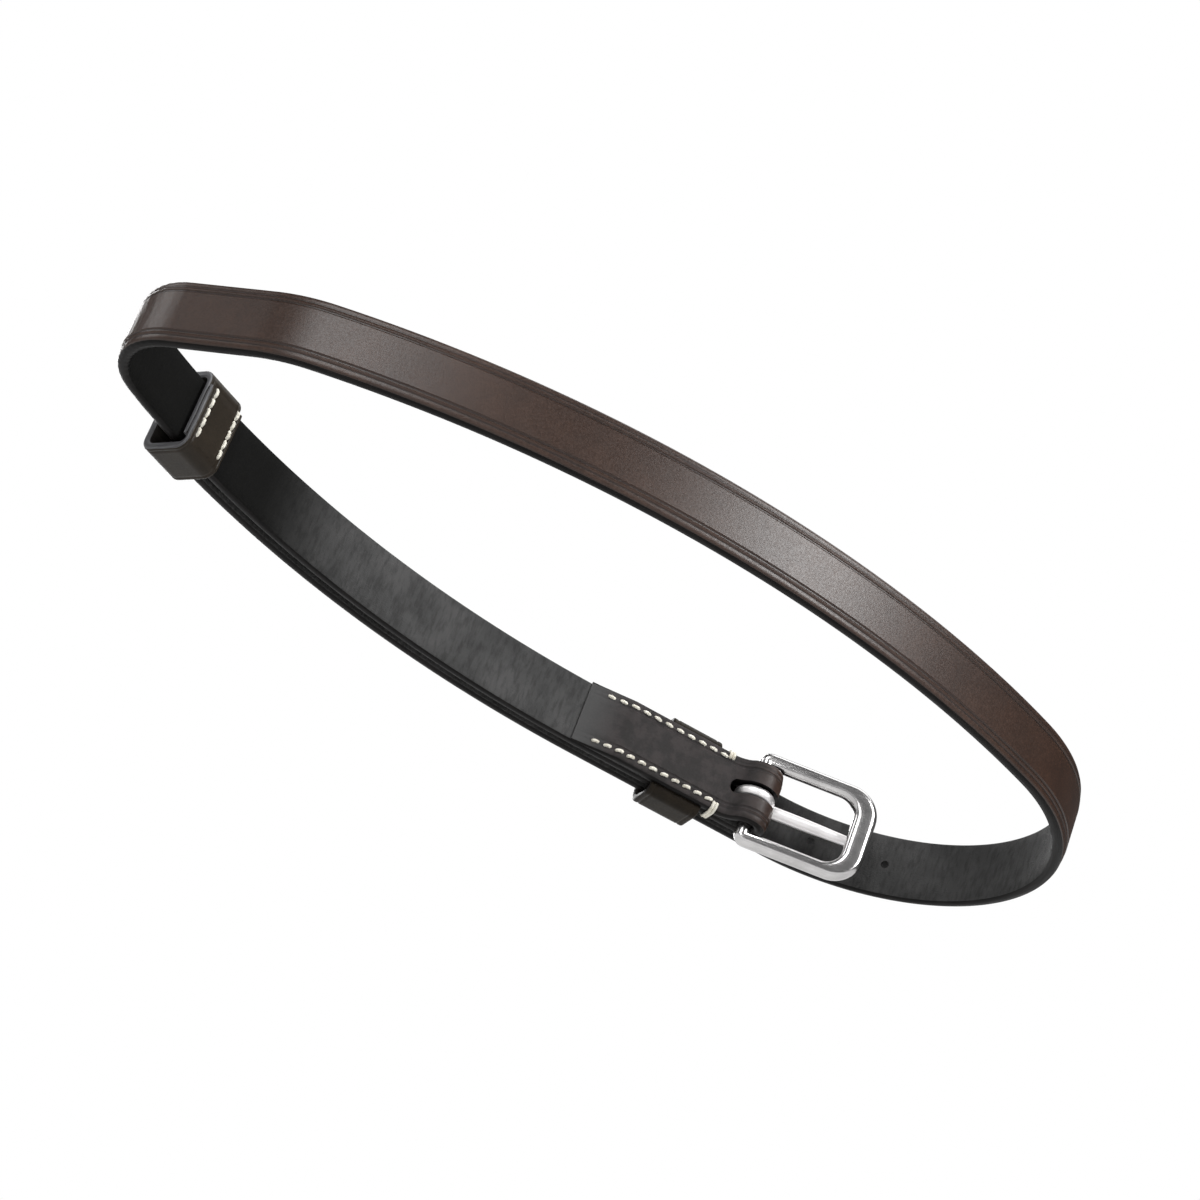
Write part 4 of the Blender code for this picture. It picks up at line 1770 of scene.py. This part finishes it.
def joined(name: str, pieces: Sequence[bpy.types.Object]) -> bpy.types.Object:
    """Joins plain pieces of one material.

    Args:
        name: The new object's name.
        pieces: The pieces. They are removed.

    Returns:
        The pieces as one mesh object.
    """
    shape = bmesh.new()
    for piece in pieces:
        shape.from_mesh(piece.data)
    mesh = bpy.data.meshes.new(name)
    shape.to_mesh(mesh)
    shape.free()
    mesh.materials.append(pieces[0].data.materials[0])
    for piece in pieces:
        bpy.data.objects.remove(piece)
    return linked(name, mesh)


@dataclass
class ChapeStitching:
    """The two rows through the chape, seen on both of its faces, each tied over the edge."""

    strap: Strap
    stitching: Stitching
    pitch: float = 0.00245
    count: int = 11
    stitch_share: float = 0.56
    seed: int = 3
    from_edge: float = 0.0016
    from_bar: float = 0.0075
    tie_count: int = 2
    tie_spacing: float = 0.00065
    tie_sunk: float = 0.0004
    tie_lift: float = 0.0002
    tie_low: float = 0.4
    tie_rise: float = 0.0003
    tie_shoulder: float = 0.0007
    tie_corner: tuple[float, float] = (0.0001, 0.0004)
    tie_side: float = 0.0011

    def faces(self, from_bar: float) -> tuple[float, float]:
        """Works out the leather's faces beside a row.

        Args:
            from_bar: How far from the bar.

        Returns:
            The heights of the turn-back's face and of the body's face.
        """
        loop, section = self.strap.loop, self.strap.section
        depth = -section.grain_depth(section.width / 2 - self.from_edge)
        turned = loop.fold_radius - loop.chape_step
        into = (from_bar - loop.turnback_length + self.strap.skive_length) / self.strap.skive_length
        drop = min(max(into, 0), 1) * self.strap.skive_drop
        return turned - depth + drop, loop.fold_radius + depth

    def build(self, name: str, node: str, side: int) -> None:
        """Builds one row.

        Args:
            name: The piece's name.
            node: The CAD node that it stands for.
            side: 1 above the strap's middle, -1 below it.
        """
        chape = self.strap.loop.chape_matrix()
        across = side * (self.strap.loop.width / 2 - self.from_edge)
        stations = [self.from_bar + self.pitch * (i + 0.5) for i in range(self.count)]
        pieces = []
        for face, sign in enumerate((-1, 1)):
            points = [chape @ Vector((-at, self.faces(at)[face], across)) for at in stations]
            direction = chape.to_3x3() @ Vector((0, sign, 0))
            lean = self.stitching.slant * sign * side
            length = self.pitch * self.stitch_share
            row = self.stitching.row(f"{name}_{face}", points, direction, length, lean, self.seed + face)
            pieces.append(row)
        for i in range(self.tie_count):
            shift = Matrix.Translation((i * self.tie_spacing, 0, 0))
            pieces.append(self.stitching.thread(f"{name}_tie_{i}", self._tie(chape @ shift, side)))
        made = joined(name, pieces)
        smoothed(made, self.stitching.sharp_over)
        finished(made, Body.STRAP, node)

    def _tie(self, chape: Matrix, side: int) -> list[Vector]:
        """Leads the stitch that goes over the chape's edge at the buckle's end of a row.

        Args:
            chape: The chape's frame.
            side: 1 for the upper edge, -1 for the lower one.

        Returns:
            The points that the thread goes through.
        """
        inner, outer = self.faces(self.from_bar)
        half = self.strap.loop.width / 2
        # From the hole to the edge's middle, as (across, how deep below the face)
        way = [
            (half - self.from_edge, self.tie_sunk),
            (half - self.from_edge + self.tie_rise, -self.tie_lift),
            (half - self.tie_shoulder, -self.tie_lift * self.tie_low),
            (half - self.tie_corner[0], self.tie_corner[1]),
            (half + self.tie_lift, self.tie_side),
        ]
        over = [(z, inner + deep) for z, deep in way] + [(z, outer - deep) for z, deep in reversed(way)]
        return [chape @ Vector((-self.from_bar, y, side * z)) for z, y in over]


@dataclass
class KeeperStitching:
    """The rows over the sliding keeper's lapped joint."""

    keeper: SlidingKeeper
    stitching: Stitching
    pitch: float = 0.0021
    count: int = 5
    stitch_share: float = 0.84
    seed: int = 11
    from_edge: float = 0.0015

    def build(self, name: str, node: str, side: int) -> None:
        """Builds one row.

        Args:
            name: The piece's name.
            node: The CAD node that it stands for.
            side: 1 on the chin side, -1 on the cheek side.
        """
        place = self.keeper.loop.sliding_keeper_matrix()
        along = side * (self.keeper.section.width / 2 - self.from_edge)
        stations = [(i - (self.count - 1) / 2) * self.pitch for i in range(self.count)]
        points = [place @ Vector((along, self.keeper.inner_face(), across)) for across in stations]
        direction = place.to_3x3() @ Vector((0, -1, 0))
        length = self.pitch * self.stitch_share
        row = self.stitching.row(name, points, direction, length, 0.0, self.seed + side)
        smoothed(row, self.stitching.sharp_over)
        finished(row, Body.SLIDING_KEEPER, node)


# The studio


@dataclass(frozen=True)
class Lamp:
    """A soft lamp. Its bearing is in degrees from +X towards +Y, and its height in degrees."""

    name: str
    bearing: float
    height: float
    distance: float
    size: tuple[float, float]
    power: float

    def add(self, aim: Vector) -> None:
        """Adds the lamp.

        Args:
            aim: The point that it is turned to.
        """
        data = bpy.data.lights.new(self.name, "AREA")
        data.shape = "RECTANGLE"
        data.size, data.size_y = self.size
        data.energy = self.power
        lamp = linked(self.name, data)
        turn, rise = math.radians(self.bearing), math.radians(self.height)
        away = Vector((math.cos(turn) * math.cos(rise), math.sin(turn) * math.cos(rise), math.sin(rise)))
        lamp.location = aim + self.distance * away
        lamp.rotation_mode = "QUATERNION"
        lamp.rotation_quaternion = (-away).to_track_quat("-Z", "Y")


@dataclass(frozen=True)
class Studio:
    """The floor, the light and the camera.

    photo_middle and object_middle are pixels of the photograph: where the fitted camera looks,
    and the strap's middle, to which this one is turned.
    """

    aim: Place = (0.075, 0.045, 0)
    distance: float = 0.6
    azimuth: float = math.radians(-25.7)
    elevation: float = math.radians(30)
    roll: float = math.radians(20.9)
    focal_pixels: float = 1251.0
    photo_size: int = 1200
    photo_middle: tuple[float, float] = (527.2, 1064.6)
    object_middle: tuple[float, float] = (491.5, 1090.0)
    enlargement: float = 2.85
    sensor_width: float = 36
    clip_start: float = 0.01
    room_light: float = 0.10
    room_dark_from: float = 0.18
    floor_height: float = -0.5
    floor_size: float = 30.0
    floor_colour: Colour = (0.88, 0.88, 0.87)
    floor_roughness: float = 0.85
    white_from: float = 0.1
    white_to: float = 1.5
    white_near: float = 0.25
    lamp_aim: Place = (0.05, 0.08, 0)
    lamps: tuple[Lamp, ...] = (
        Lamp("lamp_left", -84, 30, 1.0, (0.34, 0.70), 5.4),
        Lamp("lamp_far_left", -148, 30, 1.0, (0.5, 0.5), 2.2),
        Lamp("lamp_right", -17, 30, 1.0, (0.28, 0.55), 8.5),
        Lamp("lamp_above", 60, 75, 1.1, (0.7, 0.7), 3.5),
        Lamp("lamp_behind", 140, 28, 1.0, (0.6, 0.6), 7.0),
    )

    def add_camera(self) -> None:
        """Adds the camera at the photograph's viewpoint, turned to the strap's middle."""
        flat = Vector((math.sin(self.azimuth), math.cos(self.azimuth), 0))
        side = Vector((math.cos(self.azimuth), -math.sin(self.azimuth), 0))
        up = Vector((0, 0, 1))
        look = math.cos(self.elevation) * flat + math.sin(self.elevation) * up
        over = math.cos(self.elevation) * up - math.sin(self.elevation) * flat
        right = math.cos(self.roll) * side + math.sin(self.roll) * over
        top = math.cos(self.roll) * over - math.sin(self.roll) * side
        place = Vector(self.aim) - self.distance * look
        off = [self.object_middle[i] - self.photo_middle[i] for i in range(2)]
        turned = (self.focal_pixels * look + off[0] * right - off[1] * top).normalized()
        right = (right - right.dot(turned) * turned).normalized()
        top = right.cross(turned)
        data = bpy.data.cameras.new("camera")
        data.sensor_width = self.sensor_width
        data.lens = self.sensor_width * self.focal_pixels / self.photo_size * self.enlargement
        data.clip_start = self.clip_start
        camera = linked("camera", data)
        turn = Matrix((right, top, -turned)).transposed()
        camera.matrix_world = Matrix.Translation(place) @ turn.to_4x4()
        bpy.context.scene.camera = camera

    def add_world(self) -> None:
        """Adds even soft light, with white behind the object."""
        world = bpy.data.worlds.new("studio")
        bpy.context.scene.world = world
        world.use_nodes = True
        graph = NodeGraph(world.node_tree)
        rays = graph.add("ShaderNodeLightPath").outputs
        direction = graph.add("ShaderNodeTexCoord").outputs["Generated"]
        _, _, height = graph.add("ShaderNodeSeparateXYZ", {0: direction}).outputs
        mirrored = graph.between(height, self.room_dark_from, 0, self.room_light, 1)
        mirrored = graph.maths("MULTIPLY", rays["Is Glossy Ray"], mirrored)
        seen = graph.highest(rays["Is Camera Ray"], rays["Is Transmission Ray"])
        strength = graph.highest(seen, mirrored, self.room_light)
        graph.fill(world.node_tree.nodes["Background"], {"Color": (1, 1, 1, 1), "Strength": strength})

    def add_floor(self) -> None:
        """Adds the pale floor, which goes over into white far from the object."""
        mesh = bpy.data.meshes.new("floor")
        half = self.floor_size / 2
        corners = [(-half, -half), (half, -half), (half, half), (-half, half)]
        mesh.from_pydata([(x, y, self.floor_height) for x, y in corners], [], [(0, 1, 2, 3)])
        made, graph, shader = new_surface("pale_floor")
        graph.fill(shader, {"Base Color": (*self.floor_colour, 1), "Roughness": self.floor_roughness})
        level = graph.scaled(graph.object_place(), (1, 1, 0))
        way = graph.add("ShaderNodeVectorMath", {0: level}, operation="LENGTH").outputs["Value"]
        rays = graph.add("ShaderNodeLightPath").outputs
        seen = graph.highest(rays["Is Camera Ray"], rays["Is Glossy Ray"], rays["Is Transmission Ray"])
        far = graph.between(way, self.white_from, self.white_to, self.white_near, 1)
        far = graph.maths("MULTIPLY", far, seen)
        white = graph.out("ShaderNodeEmission")
        mix = graph.out("ShaderNodeMixShader", {0: far, 1: shader.outputs[0], 2: white})
        graph.fill(made.node_tree.nodes["Material Output"], {"Surface": mix})
        mesh.materials.append(made)
        linked("floor", mesh)

    def build(self) -> None:
        """Adds everything and sets the view transform."""
        self.add_camera()
        self.add_world()
        self.add_floor()
        for lamp in self.lamps:
            lamp.add(Vector(self.lamp_aim))
        bpy.context.scene.view_settings.view_transform = "Standard"


# The whole


@dataclass(frozen=True)
class Leathers:
    """The leather's materials, one for each side of each piece."""

    loop: LoopShape
    crease_lines: tuple[float, float] = (0.0023, 0.0014)
    dull_and_shade_before_fold_end: float = 0.006
    shade_past_keeper: float = 0.017
    shade_share: float = 0.97
    billet_shade_before_tip: float = 0.03
    billet_shade_before_chin_end: float = 0.01
    billet_shade_share: float = 0.30
    keeper_border: float = 0.0012
    keeper_matt: float = 0.52

    def strap(self) -> Dressing:
        """Makes the strap's materials.

        Returns:
            A material for each side.
        """
        route = self.loop.strap_route()
        marks = route.marks
        # Painted shade on the flesh side: nearly black from the seat round the cheek bend to past the sliding
        # keeper, and lighter along the billet
        shaded = (
            PaintedShadeStretch(
                marks[Mark.SEAT_MIDDLE],
                marks[Mark.CHEEK_END] + self.loop.keeper_from_cheek + self.shade_past_keeper,
                self.shade_share,
            ),
            PaintedShadeStretch(
                marks[Mark.TIP] - self.billet_shade_before_tip,
                marks[Mark.CHIN_END] - self.billet_shade_before_chin_end,
                self.billet_shade_share,
            ),
        )
        # Painted shade darkens and greys the strap's grain from a little before the fold's end to the
        # turn-back's end, where it also goes matt
        grain = GrainFinish(
            "strap_grain", base=(0.033, 0.0150, 0.0088), light=(0.047, 0.0220, 0.0130),
            dark=(0.009, 0.0055, 0.0045), half_width=self.loop.width / 2, creases=self.crease_lines,
            dull_and_shade_from=marks[Mark.FOLD_END] - self.dull_and_shade_before_fold_end, worn_to=route.length,
        )
        flesh = FleshFinish(
            "strap_flesh", base=(0.055, 0.055, 0.055), light=(0.082, 0.081, 0.081),
            dark=(0.005, 0.005, 0.0047), painted_shade_stretches=shaded,
        )
        edge = EdgeFinish("strap_edge", base=(0.004, 0.0036, 0.0036), light=(0.012, 0.0105, 0.010))
        return {Side.GRAIN: grain.material(), Side.FLESH: flesh.material(), Side.EDGE: edge.material()}

    def fixed_keeper(self) -> Dressing:
        """Makes the fixed keeper's materials.

        Returns:
            A material for each side.
        """
        grain = GrainFinish(
            "keeper_grain", base=(0.014, 0.0105, 0.0068), light=(0.022, 0.0165, 0.0105),
            dark=(0.006, 0.0045, 0.0038), half_width=self.loop.width / 2, border=self.keeper_border,
            matt=self.keeper_matt, specular=0.1,
        )
        flesh = FleshFinish(
            "keeper_flesh", base=(0.030, 0.027, 0.025), light=(0.050, 0.046, 0.043),
            dark=(0.012, 0.011, 0.010),
        )
        edge = EdgeFinish("keeper_edge", base=(0.012, 0.010, 0.009), light=(0.030, 0.026, 0.024))
        return {Side.GRAIN: grain.material(), Side.FLESH: flesh.material(), Side.EDGE: edge.material()}

    def sliding_keeper(self, flesh: bpy.types.Material) -> Dressing:
        """Makes the sliding keeper's materials, with its edges left raw.

        Args:
            flesh: The material of its flesh side.

        Returns:
            A material for each side.
        """
        grain = GrainFinish(
            "sliding_keeper_grain", base=(0.019, 0.014, 0.009), light=(0.030, 0.022, 0.014),
            dark=(0.008, 0.006, 0.005), half_width=self.loop.width / 2, border=self.keeper_border,
            matt=self.keeper_matt, specular=0.18,
        )
        edge = EdgeFinish("cut_edge", base=(0.10, 0.10, 0.106), light=(0.22, 0.22, 0.228), roughness=0.6)
        return {Side.GRAIN: grain.material(), Side.FLESH: flesh, Side.EDGE: edge.material()}


def main() -> None:
    """Builds every piece in order, and then the studio."""
    logging.basicConfig(level=logging.INFO, format="%(name)s: %(message)s")
    loop = LoopShape()
    leathers = Leathers(loop)
    strap_sides, keeper_sides = leathers.strap(), leathers.fixed_keeper()
    sliding_sides = leathers.sliding_keeper(keeper_sides[Side.FLESH])
    sweep = strip_tree()
    strap = Strap(loop)
    strap.build(sweep, strap_sides)
    FixedKeeper(loop).build(sweep, keeper_sides)
    sliding_keeper = SlidingKeeper(loop)
    sliding_keeper.build(sweep, sliding_sides)

    buckle = Buckle(loop, SATIN_STEEL.material(), RUBBED_STEEL_WITH_PAINTED_LIGHT.material())
    buckle.build_frame()
    buckle.build_prong()

    stitching = Stitching(ThreadFinish().material(), thread_tree(), stitch_row_tree())
    chape_rows = ChapeStitching(strap, stitching)
    chape_rows.build("chape_stitching_upper", "chape_thread_upper", 1)
    chape_rows.build("chape_stitching_lower", "chape_thread_lower", -1)
    keeper_rows = KeeperStitching(sliding_keeper, stitching)
    keeper_rows.build("keeper_stitching_chin_side", "sliding_keeper_thread_chin_side", 1)
    keeper_rows.build("keeper_stitching_cheek_side", "sliding_keeper_thread_cheek_side", -1)

    Studio().build()


if __name__ == "__main__":
    main()
